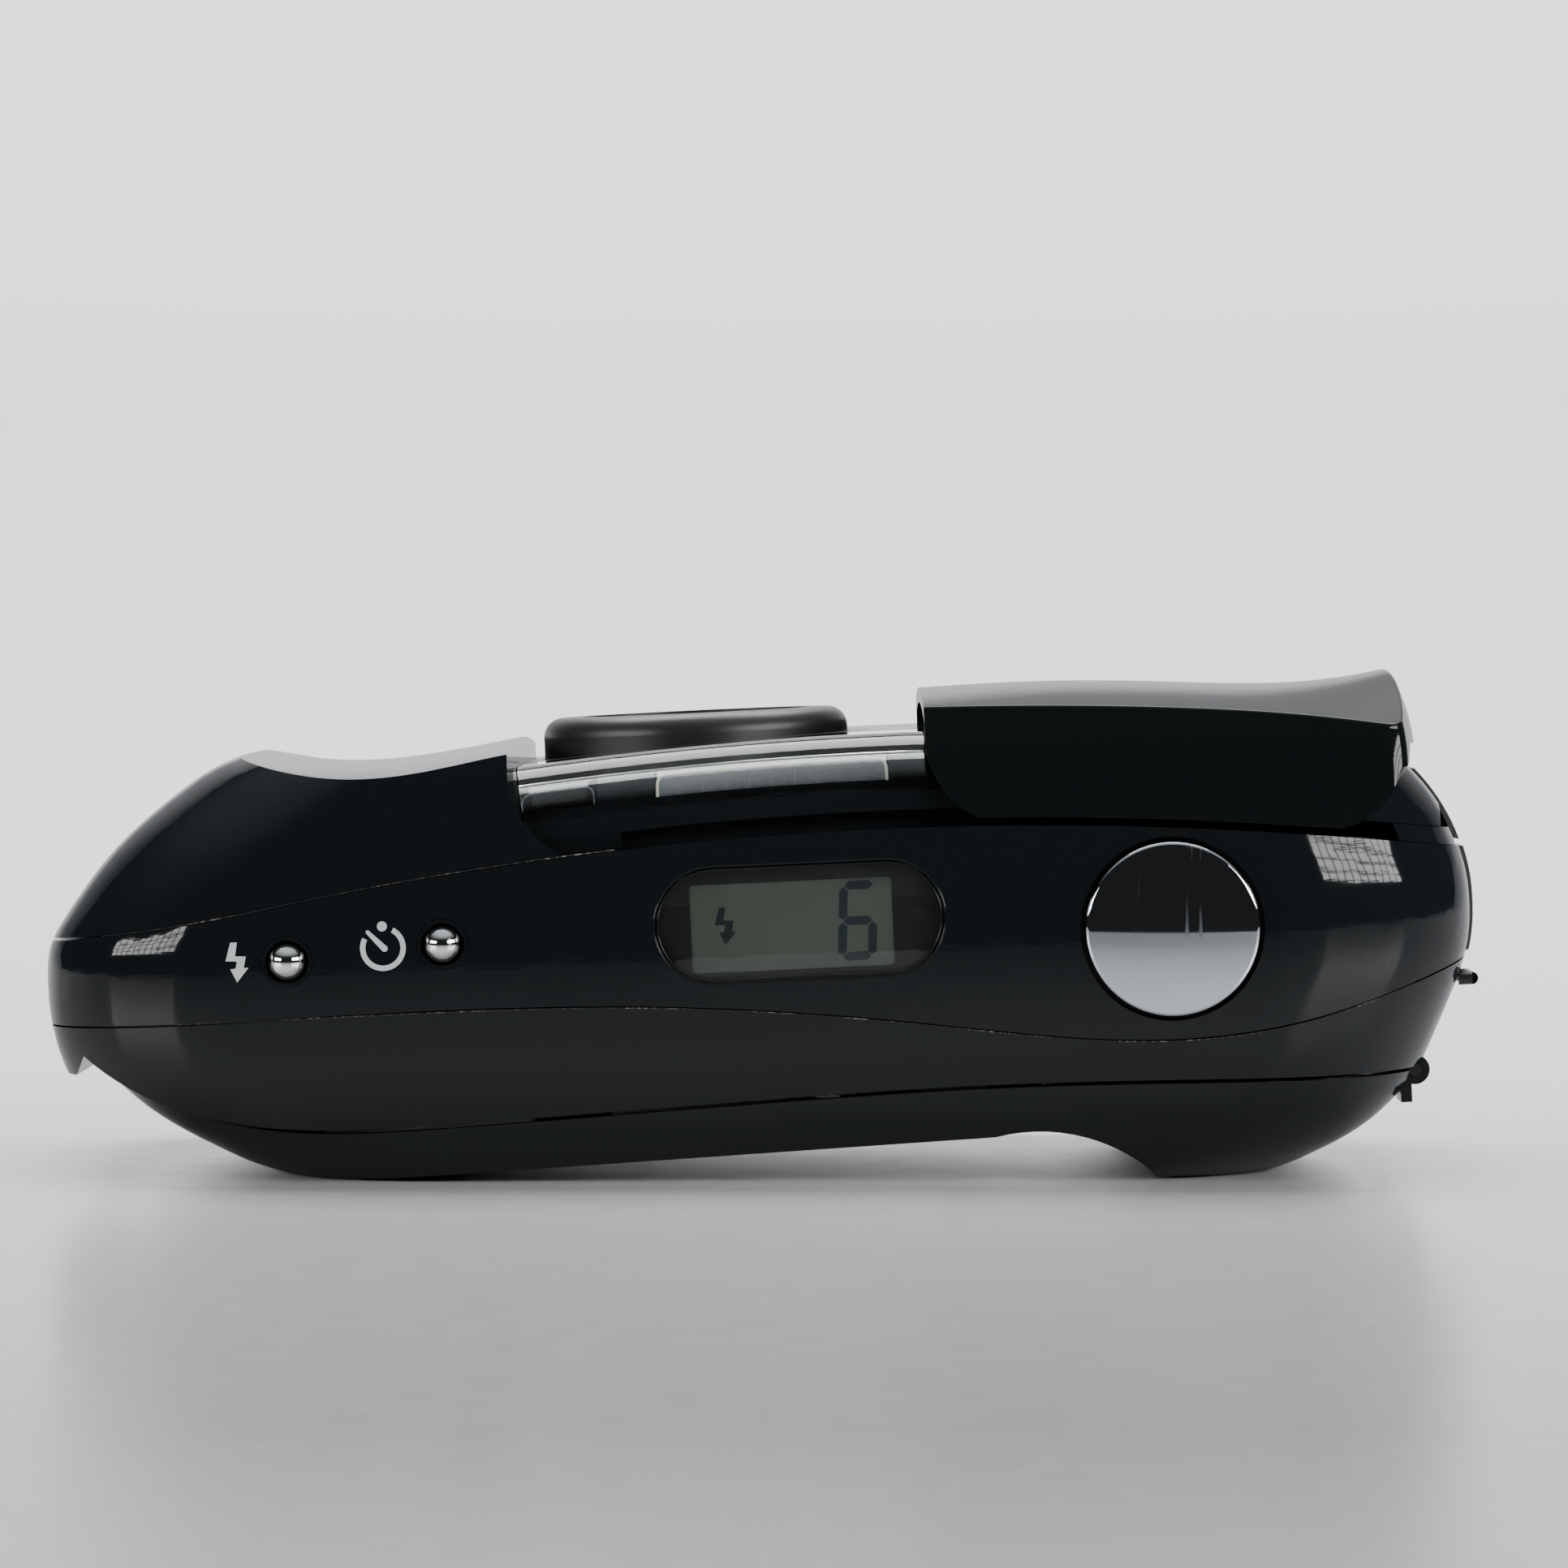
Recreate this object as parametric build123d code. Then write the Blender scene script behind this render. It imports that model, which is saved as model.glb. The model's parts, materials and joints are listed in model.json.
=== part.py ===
from build123d import *
import math
import os

# A compact 35 mm film camera, lying on its back as it does on a table.
# Design frame, in millimetres: +Z out of the lens, +X to the user's right,
# -Y out of the top plate and +Y out of the bottom plate. z = 0 is the lowest
# line of the left bulge of the back door. lay_down() turns the finished
# pieces to the frame in which the camera rests on its two back bulges.

# Outer body
body_height = 60.0            # top plate to bottom plate, at the belt
crown_level = 16.5            # where the body is highest
crown_radius = 56.0           # crown of the top and bottom plates
corner_left = 15.0            # corners in the front view
corner_right = 16.0
belt_left = (-39.0, 15.5, 18.0)       # centre x, centre z, radius of the left end
nose_left = (-27.4, 3.3, 33.3)        # the left nose above seam A
belt_right = (41.0, 17.5, 16.0)
hump_right = (38.0, 14.0, 17.3)       # thumb hump, which the camera rests on
door_left = (-33.1, 25.7, 25.7)       # left bulge of the door, also a rest
back_dip = 1.2                # how far the middle of the back stands off
wall = 1.6
seam_gap = 0.15
door_gap = 0.3
back_edge_round = 5.0         # how far the hump's long edges are drawn in
back_edge_level = 3.0

# Cover and its arc track, about an axis far behind the camera
track_x = 10.0
track_top = 25.9              # seam A where it is highest
seam_radius = 285.0
track_z = track_top - seam_radius
seam_turn_x = -38.0           # left of here seam A bends the other way
seam_turn_radius = 164.0
slot_height = 1.2
slot_top_radius = seam_radius + 0.1 + slot_height
slot_depth = 1.7
slot_left = -10.7
panel_edge_radius = 287.9     # lower edge of the clear panel
front_radius = 292.3          # the front face under the cover
front_round = 4.3             # rounded edge between front face and its side
core_half = 27.2
core_draft = 0.5
core_wall = 2.6
cover_wall = 1.2
cover_clear = 0.4
cover_travel = 6.3            # degrees on the track
cover_left = 13.9
shell_right = -18.9           # right edge of the left front shell
cover_right = 53.8
cover_side_end = 51.5
cover_lift = 0.45             # lower edge of the cover above seam A

# Lens
lens_x = -4.55
lens_ring_radius = 12.45
lens_front = 35.3
lens_park = 2.0
zoom_travel = 9.0
inner_travel = 7.0
barrel_gap = 0.08

# Film path
film_level = 6.0              # film rails
gate_width = 36.0
gate_height = 24.0
cartridge_x, cartridge_z = -38.5, 16.0
cartridge_bay_radius = 12.8
cartridge_bay_half = 23.7
fork_flange_radius = 4.2
spool_x, spool_z = 24.3, 15.8
spool_bay_radius = 11.0
spool_radius = 7.2
bay_wall = 0.9

# Controls on the top plate
shutter_x, shutter_z = 32.5, 17.0
shutter_radius = 6.9
shutter_travel = 0.8
shutter_rise = 0.7            # of the dome above its edge
shutter_edge_proud = 0.45
flash_button_x, flash_button_z = -36.7, 17.6
timer_button_x, timer_button_z = -24.5, 18.4
ball_radius = 1.48
bezel_radius = 2.0
ball_travel = 0.5
button_gap = 0.12
lcd_x, lcd_z = 3.45, 18.9
lcd_window_width, lcd_window_height = 22.7, 9.1
lcd_width, lcd_height = 16.0, 7.0

# Battery, tripod socket, hinge
battery_x, battery_z = 45.1, 15.4
battery_radius = 7.8
battery_length = 27.0
battery_start = -8.0
battery_lid_edge = 21.0       # the lid covers the bottom plate from here outwards
tripod_x, tripod_z = -12.0, 17.0
tripod_radius = 3.175
tripod_depth = 5.0
socket_radius = 3.9
hinge_x, hinge_z = 52.0, 4.2
hinge_pin_radius = 0.55
hinge_knuckle_radius = 1.2
running_gap = 0.05


def p(x, z):
    return (x, 0, z)


def circle_reach(circle, z):
    cx, cz, radius = circle
    return math.sqrt(max(radius ** 2 - (z - cz) ** 2, 0.0))


def body_left(z):
    circle = nose_left if z > seam_a_level(-56.0) else belt_left
    return circle[0] - circle_reach(circle, z)


def door_left_reach(z):
    floor_level = 3.0
    if z >= floor_level:
        return door_left[0] - circle_reach(door_left, z)
    slope = 1.8
    return door_left[0] - circle_reach(door_left, floor_level) + slope * (floor_level - z)


def right_reach(z):
    hump_start = -2.0
    slope = 1.6
    hump = hump_right[0] + circle_reach(hump_right, max(z, hump_start))
    if z < hump_start:
        hump -= slope * (hump_start - z)
    return max(hump, belt_right[0] + circle_reach(belt_right, z))


def half_height(z):
    half = body_height / 2 - (z - crown_level) ** 2 / (2 * crown_radius)
    if z < back_edge_level:
        drop = (back_edge_level - z) / (back_edge_level + 3.5)
        half -= back_edge_round * (1 - math.sqrt(1 - drop ** 2))
    return half


def level_outline(z, left, right, half, inset):
    left, right, half = left + inset, right - inset, half - inset
    rl, rr = corner_left - inset, corner_right - inset
    kl, kr = rl * (1 - math.sqrt(0.5)), rr * (1 - math.sqrt(0.5))
    edges = [
        Line((left + rl, -half, z), (right - rr, -half, z)),
        ThreePointArc((right - rr, -half, z), (right - kr, -half + kr, z), (right, -half + rr, z)),
        Line((right, -half + rr, z), (right, half - rr, z)),
        ThreePointArc((right, half - rr, z), (right - kr, half - kr, z), (right - rr, half, z)),
        Line((right - rr, half, z), (left + rl, half, z)),
        ThreePointArc((left + rl, half, z), (left + kl, half - kl, z), (left, half - rl, z)),
        Line((left, half - rl, z), (left, -half + rl, z)),
        ThreePointArc((left, -half + rl, z), (left + kl, -half + kl, z), (left + rl, -half, z)),
    ]
    return Wire(edges)


def skin(left_reach, levels, inset=0.0):
    outlines = [level_outline(z, left_reach(z), right_reach(z), half_height(z), inset) for z in levels]
    return Solid.make_loft(outlines)


body_levels = [2.0, 5.0, 8.0, 10.5, 13.0, 16.0, 19.3, 22.0, 25.0, 28.0, 31.0, 33.2, 35.0]
door_levels = [-3.4, -2.2, -1.0, 1.0, 3.0, 5.0, 7.0, 9.5, 12.0]


def body_skin(inset=0.0):
    return skin(body_left, body_levels, inset)


def door_skin(inset=0.0):
    return skin(door_left_reach, door_levels, inset)


def through_y(edges):
    return extrude(make_face(Wire(edges)), amount=45, both=True)


def track_point(x, radius):
    return p(x, track_z + math.sqrt(radius ** 2 - (x - track_x) ** 2))


def seam_a_level(x):
    turn = math.asin((track_x - seam_turn_x) / seam_radius)
    if x >= seam_turn_x:
        return track_z + math.sqrt(seam_radius ** 2 - (x - track_x) ** 2)
    centre_x = track_x - (seam_radius + seam_turn_radius) * math.sin(turn)
    centre_z = track_z + (seam_radius + seam_turn_radius) * math.cos(turn)
    return centre_z - math.sqrt(seam_turn_radius ** 2 - (x - centre_x) ** 2)


def seam_a(offset=0.0):
    """Seam A from the left end to the right end, moved along its own radius."""
    turn = math.asin((track_x - seam_turn_x) / seam_radius)
    radius = seam_radius + offset
    joint = p(track_x - radius * math.sin(turn), track_z + radius * math.cos(turn))
    centre_x = track_x - (seam_radius + seam_turn_radius) * math.sin(turn)
    centre_z = track_z + (seam_radius + seam_turn_radius) * math.cos(turn)
    small = seam_turn_radius - offset
    end_turn, mid_turn = math.radians(0.3), turn / 2
    end = p(centre_x + small * math.sin(end_turn), centre_z - small * math.cos(end_turn))
    middle = p(centre_x + small * math.sin(mid_turn), centre_z - small * math.cos(mid_turn))
    right_end = 62.0
    return [
        ThreePointArc(end, middle, joint),
        ThreePointArc(joint, track_point(track_x, radius), track_point(right_end, radius)),
    ]


seam_b_points = [(-66, 13.0), (-30, 13.1), (-9, 12.7), (13.4, 10.3), (32.5, 8.2), (45, 9.7), (54.1, 12.4), (62, 14.6)]
seam_c_points = [(-53.6, 10.6), (-46.0, 6.3), (-38.0, 4.5), (-25.0, 4.2), (5.0, 5.2), (18.0, 5.4), (40.0, 4.9), (62.0, 4.6)]
notch_level = 9.0             # the rear shell's left end reaches down to here


def seam_b(offset=0.0):
    return [Spline(*[p(x, z + offset) for x, z in seam_b_points])]


def seam_c(offset=0.0):
    first = seam_c_points[0]
    return [
        Line(p(-66, notch_level + offset), p(first[0] - 0.9, notch_level + offset)),
        Line(p(first[0] - 0.9, notch_level + offset), p(first[0], first[1] + offset)),
        Spline(*[p(x, z + offset) for x, z in seam_c_points]),
    ]


def side_of(seam, level):
    """Everything between a seam and a level, through the whole body."""
    start, end = seam[0] @ 0, seam[-1] @ 1
    return through_y(seam + [
        Line(end, p(end.X, level)),
        Line(p(end.X, level), p(start.X, level)),
        Line(p(start.X, level), start),
    ])


def above(seam):
    return side_of(seam, 60.0)


def below(seam):
    return side_of(seam, -20.0)


def block(x0, x1, y0, y1, z0, z1):
    return Pos((x0 + x1) / 2, (y0 + y1) / 2, (z0 + z1) / 2) * Box(x1 - x0, y1 - y0, z1 - z0)


def z_rod(x, y, radius, z0, z1):
    return Pos(x, y, (z0 + z1) / 2) * Cylinder(radius, z1 - z0)


def y_rod(x, z, radius, y0, y1):
    return Pos(x, (y0 + y1) / 2, z) * Rot(90, 0, 0) * Cylinder(radius, y1 - y0)


def face_prism(stations, drop=0.0):
    """Everything behind a front face that is crowned along Y and shaped along X.

    Each station is x, the level at the long edges and the level on the middle line."""
    edge_half, reach, floor = 27.0, 33.0, 5.0
    wires = []
    for x, edge, crest in stations:
        side = crest - (crest - edge) * (reach / edge_half) ** 2 - drop
        wires.append(Wire([
            ThreePointArc((x, -reach, side), (x, 0, crest - drop), (x, reach, side)),
            Line((x, reach, side), (x, reach, floor)),
            Line((x, reach, floor), (x, -reach, floor)),
            Line((x, -reach, floor), (x, -reach, side)),
        ]))
    return Solid.make_loft(wires)


nose_face = [(-66.0, 42.0, 42.5), (-50.0, 36.3, 36.8), (-42.0, 33.7, 34.0), (-35.0, 32.0, 32.7), (-28.0, 31.7, 32.7), (-14.0, 33.0, 34.2)]
cover_face = [(4.0, 35.5, 36.2), (13.0, 35.15, 36.4), (24.0, 34.45, 36.5), (34.0, 33.4, 36.0), (42.0, 32.2, 35.5), (48.0, 30.9, 35.65), (52.0, 30.05, 36.2), (58.0, 28.9, 37.6)]


def track_wedge(profile, x0, x1):
    """A profile of (y, radius) points or edges, turned about the track axis between two x."""
    start, end = math.asin((x0 - track_x) / front_radius), math.asin((x1 - track_x) / front_radius)
    axis = Axis((track_x, 0, track_z), (0, 1, 0))
    face = make_face(Wire(profile)).rotate(axis, math.degrees(start))
    return revolve(face, axis, revolution_arc=math.degrees(end - start))


def core_profile(offset, bottom):
    """Front body section: flat face, round long edges and slightly drafted sides."""
    half, top, rounding = core_half + offset, front_radius + offset, front_round + offset
    base, start = slot_top_radius, top - rounding
    shoulder = half - core_draft
    inner = shoulder - rounding
    k = rounding * math.sqrt(0.5)

    def q(y, radius):
        return (track_x, y, track_z + radius)

    if bottom < base:
        side = [(half, bottom), (half, base), (shoulder, start)]
    else:
        side = [(half - core_draft * (bottom - base) / (start - base), bottom), (shoulder, start)]
    steps = list(zip(side, side[1:]))
    up = [Line(q(-a, low), q(-b, high)) for (a, low), (b, high) in steps]
    down = [Line(q(b, high), q(a, low)) for (a, low), (b, high) in reversed(steps)]
    return up + [
        ThreePointArc(q(-shoulder, start), q(-inner - k, start + k), q(-inner, top)),
        Line(q(-inner, top), q(inner, top)),
        ThreePointArc(q(inner, top), q(inner + k, start + k), q(shoulder, start)),
    ] + down + [Line(q(side[0][0], bottom), q(-side[0][0], bottom))]


def plain_profile(half, bottom, top):
    def q(y, radius):
        return (track_x, y, track_z + radius)

    return [
        Line(q(-half, bottom), q(-half, top)),
        Line(q(-half, top), q(half, top)),
        Line(q(half, top), q(half, bottom)),
        Line(q(half, bottom), q(-half, bottom)),
    ]


def swept_edge(x, turn, middle, foot):
    """An upright edge in the top view whose lower end sweeps to the right."""
    return [
        Line(p(x, 45.0), p(x, turn)),
        ThreePointArc(p(x, turn), middle, foot),
    ]


def shell_edge(offset=0.0):
    """Right edge of the left front shell, which the closed cover meets."""
    x = shell_right + offset
    return swept_edge(x, 30.9, p(x + 1.2, 27.4), p(x + 3.8, 25.0))


def cover_left_edge(foot_radius):
    return swept_edge(cover_left, 31.9, p(cover_left + 1.05, 28.9), track_point(cover_left + 3.8, foot_radius))


def left_of_edge(offset):
    edges = shell_edge(offset)
    foot = edges[-1] @ 1
    return through_y(edges + [
        Line(foot, p(foot.X + 1.5, 10)),
        Line(p(foot.X + 1.5, 10), p(-70, 10)),
        Line(p(-70, 10), p(-70, 45)),
        Line(p(-70, 45), edges[0] @ 0),
    ])


def stadium(x, z, width, height, y0, y1):
    radius = height / 2
    reach = width / 2 - radius
    return (y_rod(x - reach, z, radius, y0, y1) + y_rod(x + reach, z, radius, y0, y1)
            + block(x - reach, x + reach, y0, y1, z - radius, z + radius))


def ring(x, y, outer, inner, z0, z1):
    return z_rod(x, y, outer, z0, z1) - z_rod(x, y, inner, z0 - 1, z1 + 1)


# Casing
skin_outer = body_skin()
skin_inner = body_skin(wall)

flash_x0, flash_x1 = -7.3, 10.8
flash_y0, flash_y1 = -24.9, -17.6
flash_lens_level = 28.6
finder_x0, finder_x1 = -18.1, -12.2
finder_y0, finder_y1 = -24.9, -18.7
panel_thickness = 1.5
panel_left, panel_right = -18.3, 22.5
panel_inner_edge = -11.4
pocket_gap = 0.2
flange_width = 3.7
collar_radius = 14.1
tongue_half = 25.6


def front_shell():
    nose = skin_outer & above(seam_a(0.1)) & left_of_edge(0.0) & face_prism(nose_face)
    nose_room = skin_inner & above(seam_a(-3.0)) & left_of_edge(-wall) & face_prism(nose_face, wall)
    core = track_wedge(core_profile(0.0, slot_top_radius), -21.0, 55.5) & skin_outer
    tongue = track_wedge(plain_profile(tongue_half, 281.0, slot_top_radius + 0.1), -19.2, 55.5)
    tongue = tongue & body_skin(flange_width + 0.1)
    stop = track_wedge(plain_profile(core_half, seam_radius + 0.1, slot_top_radius + 0.1), -17.0, slot_left)
    room = track_wedge(core_profile(-core_wall, 280.0), -24.0, 55.5) & body_skin(core_wall)
    shell = nose + core + tongue + stop - nose_room - room
    recess = track_wedge(core_profile(2.0, panel_edge_radius - 0.05), panel_left - 0.1, panel_right + 0.1)
    recess -= track_wedge(core_profile(-panel_thickness - 0.02, 280.0), panel_left - 1, panel_right + 1)
    recess &= block(-40, 40, -50, panel_inner_edge + 0.1, 0, 60)
    shell -= recess
    g = pocket_gap
    shell -= block(flash_x0 - g, flash_x1 + g, flash_y0 - g, flash_y1 + g, 20.0, 40.0)
    shell -= block(finder_x0 - g, finder_x1 + g, flash_y0 - g, finder_y1 + g, 20.0, 40.0)
    shell -= z_rod(lens_x, 0, collar_radius + running_gap, 20.0, 40.0)
    return shell


def window_panel():
    panel = track_wedge(core_profile(0.0, panel_edge_radius), panel_left, panel_right)
    panel -= track_wedge(core_profile(-panel_thickness, 280.0), panel_left - 1, panel_right + 1)
    panel &= block(-40, 40, -50, panel_inner_edge, 0, 60)
    return panel - z_rod(lens_x, 0, collar_radius + running_gap, 20.0, 40.0)


def lens_collar():
    face = track_wedge(core_profile(0.0, 280.0), -24.0, 20.0)
    return ring(lens_x, 0, collar_radius, lens_ring_radius + 0.2, 28.6, 36.0) & face


def belt():
    band = (skin_outer - skin_inner) & above(seam_b(seam_gap)) & below(seam_a(-0.1))
    flange = (skin_outer - body_skin(flange_width)) & above(seam_a(-1.3)) & below(seam_a(-0.1))
    band += flange
    band -= y_rod(shutter_x, shutter_z, shutter_radius + 0.3, -40, -20)
    band -= y_rod(flash_button_x, flash_button_z, bezel_radius, -40, -20)
    band -= y_rod(timer_button_x, timer_button_z, bezel_radius, -40, -20)
    band -= stadium(lcd_x, lcd_z, lcd_window_width, lcd_window_height, -40, -20)
    band -= y_rod(tripod_x, tripod_z, socket_radius + running_gap, 20, 40)
    band -= block(-60, -50, -2.3, 6.6, 14.4, 16.6)
    return band - battery_opening(0.0)


def door_rim(inset, gap, height):
    """Ledge inside the left end of the rear shell, round the narrower door."""
    room = body_skin(inset) - door_skin(-gap)
    return room & above(seam_c()) & below(seam_c(height)) & block(-60, -38, -40, 40, 0, 20)


def battery_opening(shrink):
    x0, x1, z0 = battery_x - 8.3, battery_x + 8.7, battery_z - 8.4
    region = block(x0 + shrink, x1 - shrink, battery_lid_edge + shrink, 40, z0 + shrink, 40)
    return region & below(seam_a(0.3 - 1.2 * shrink))


def rear_shell():
    band = (skin_outer - skin_inner) & above(seam_c()) & below(seam_b())
    band += door_rim(wall - 0.02, 0.3, 1.3) - block(-55.0, -50, -3.4, 6.6, 0, 20)
    band -= battery_opening(0.0)
    for y0, y1 in door_lug_spans():
        band -= y_rod(hinge_x, hinge_z, hinge_knuckle_radius + 0.45, y0 - 0.3, y1 + 0.3)
    for y0, y1 in shell_lug_spans():
        lug = y_rod(hinge_x, hinge_z, hinge_knuckle_radius, y0, y1)
        lug += block(hinge_x - hinge_knuckle_radius, hinge_x + 0.7, y0, y1, hinge_z, hinge_z + 2.0)
        band += lug
    band -= y_rod(hinge_x, hinge_z, hinge_pin_radius, -20, 20)
    x0, x1 = battery_lug_middle()
    band -= x_rod(battery_hinge_y(), battery_hinge_z(), 0.9, x0 - 1.9, x1 + 1.9)
    lug = x_rod(battery_hinge_y(), battery_hinge_z(), 0.6, x0, x1)
    lug += block(x0, x1, battery_hinge_y() - 1.5, battery_hinge_y(), battery_hinge_z() - 1.4, battery_hinge_z() - 0.1)
    band += lug
    return band - x_rod(battery_hinge_y(), battery_hinge_z(), 0.3 + running_gap / 2, x0 - 1, x1 + 1)


def x_rod(y, z, radius, x0, x1):
    return Pos((x0 + x1) / 2, y, z) * Rot(0, 90, 0) * Cylinder(radius, x1 - x0)


def door_lug_spans():
    return [(-15.0, -10.0), (10.0, 15.0)]


def shell_lug_spans():
    return [(-9.7, -6.0), (6.0, 9.7)]


def battery_hinge_y():
    return half_height(battery_hinge_z()) + 0.15


def battery_hinge_z():
    return battery_z - 8.5


def battery_lug_middle():
    return battery_x - 6.4, battery_x - 3.6


def above_back(inset):
    """Everything in front of the back face, which dips between two bulges."""
    cx, cz, big = door_left
    r = big - inset
    hx, hz, hump = hump_right
    h = hump - inset
    k = math.sqrt(0.5)
    dip_start = p(18.0, back_dip + inset)
    dip_end = p(30.7 + inset * 0.5, -2.7 + inset)
    return through_y([
        ThreePointArc(p(cx - r, cz), p(cx - r * k, cz - r * k), p(cx, cz - r)),
        Line(p(cx, cz - r), dip_start),
        ThreePointArc(dip_start, p(25.9, back_dip - 0.65 + inset), dip_end),
        Line(dip_end, p(hx, hz - h)),
        ThreePointArc(p(hx, hz - h), p(hx + h * k, hz - h * k), p(hx + h, hz)),
        Line(p(hx + h, hz), p(hx + h, cz)),
        Line(p(hx + h, cz), p(cx - r, cz)),
    ])


eyepiece = (-19.6, -10.6, -25.2, -18.4)
film_window_box = (-40.5, -36.5, -9.0, 9.0)
rocker_x, rocker_y = 20.0, -9.0
rocker_length, rocker_width = 12.0, 6.0
rocker_pivot = 2.3


def back_door():
    shell = door_skin() & below(seam_c(-door_gap)) & above_back(0.0)
    room = door_skin(wall) & below(seam_c(2.0)) & above_back(wall)
    shell -= room
    shell -= block(hinge_x - 0.45, 60, -40, 40, -10, 10)
    for y0, y1 in door_lug_spans():
        lug = y_rod(hinge_x, hinge_z, hinge_knuckle_radius, y0, y1)
        lug += block(hinge_x - hinge_knuckle_radius, hinge_x - 0.3, y0, y1, hinge_z - 2.6, hinge_z)
        shell += lug
    for y0, y1 in shell_lug_spans():
        shell -= y_rod(hinge_x, hinge_z, hinge_knuckle_radius + 0.35, y0 - 0.3, y1 + 0.3)
        shell -= block(hinge_x - hinge_knuckle_radius - 0.4, 60, y0 - 0.3, y1 + 0.3, hinge_z - 0.3, hinge_z + 4)
    shell -= y_rod(hinge_x, hinge_z, hinge_pin_radius + running_gap, -20, 20)
    claw = block(-53.4, -52.55, -3.0, 3.0, 8.4, 11.6)
    shell += claw
    x0, x1, y0, y1 = eyepiece
    shell -= block(x0, x1, y0, y1, -5, 5)
    x0, x1, y0, y1 = film_window_box
    shell -= block(x0, x1, y0, y1, -5, 5)
    shell -= rocker_block(0.35, -5, 5)
    return shell


def rocker_block(gap, z0, z1):
    half_x, half_y = rocker_length / 2 + gap, rocker_width / 2 + gap
    return stadium_z(rocker_x, rocker_y, 2 * half_x, 2 * half_y, z0, z1)


def stadium_z(x, y, width, height, z0, z1):
    radius = height / 2
    reach = width / 2 - radius
    return (z_rod(x - reach, y, radius, z0, z1) + z_rod(x + reach, y, radius, z0, z1)
            + block(x - reach, x + reach, y - radius, y + radius, z0, z1))


def door_glass(box, lower, upper):
    x0, x1, y0, y1 = box
    g = running_gap
    return block(x0 + g, x1 - g, y0 + g, y1 - g, lower, upper)


def zoom_rocker():
    cap = rocker_block(0.0, 0.1, 2.1)
    dish = Pos(rocker_x, rocker_y, -16.4) * Rot(90, 0, 0) * Cylinder(17.0, 20)
    return cap - dish + y_rod(rocker_x, rocker_pivot, 0.8, rocker_y - 2.5, rocker_y + 2.5)


def rocker_bracket():
    """Two ears on the inside of the door that carry the rocker's pivot stub."""
    foot = back_dip + wall + 0.35
    base = block(rocker_x - 2.2, rocker_x + 2.2, rocker_y - 4.6, rocker_y - 3.6, foot, 3.9)
    base += block(rocker_x - 2.2, rocker_x + 2.2, rocker_y + 3.6, rocker_y + 4.6, foot, 3.9)
    base += block(rocker_x - 2.2, rocker_x + 2.2, rocker_y - 4.6, rocker_y + 4.6, 3.4, 4.2)
    return base


def pressure_plate():
    plate = block(-23.4, 14.4, -17.0, 17.0, 4.6, 5.5)
    plate = fillet(plate.edges().filter_by(Axis.Z), 1.2)
    return plate - block(sprocket_x - 5.4, sprocket_x + 5.4, 12.6, 20.0, 0, 10)


def pressure_spring():
    x0, x1, rise = -15.0, 6.0, 1.6
    base = 2.9
    middle = (x0 + x1) / 2
    thickness = 0.3
    return extrude(make_face(Wire([
        ThreePointArc(p(x0, base), p(middle, base + rise), p(x1, base)),
        Line(p(x1, base), p(x1, base - thickness)),
        ThreePointArc(p(x1, base - thickness), p(middle, base + rise - thickness), p(x0, base - thickness)),
        Line(p(x0, base - thickness), p(x0, base)),
    ])), amount=4.0, both=True)


# Chassis and film path
sprocket_x, sprocket_z = 8.3, film_level + 4.7
sprocket_radius = 4.3
sprocket_y0, sprocket_y1 = 13.5, 16.5
mount_radius = 14.6
plate_level = 11.8
plate_thickness = 1.2
box_top = 14.4


def bay(x, z, radius, y0, y1, bottom):
    """A film bay: round in front, straight-sided and open behind."""
    return y_rod(x, z, radius, y0, y1) + block(x - radius, x + radius, y0, y1, bottom, z)


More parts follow.
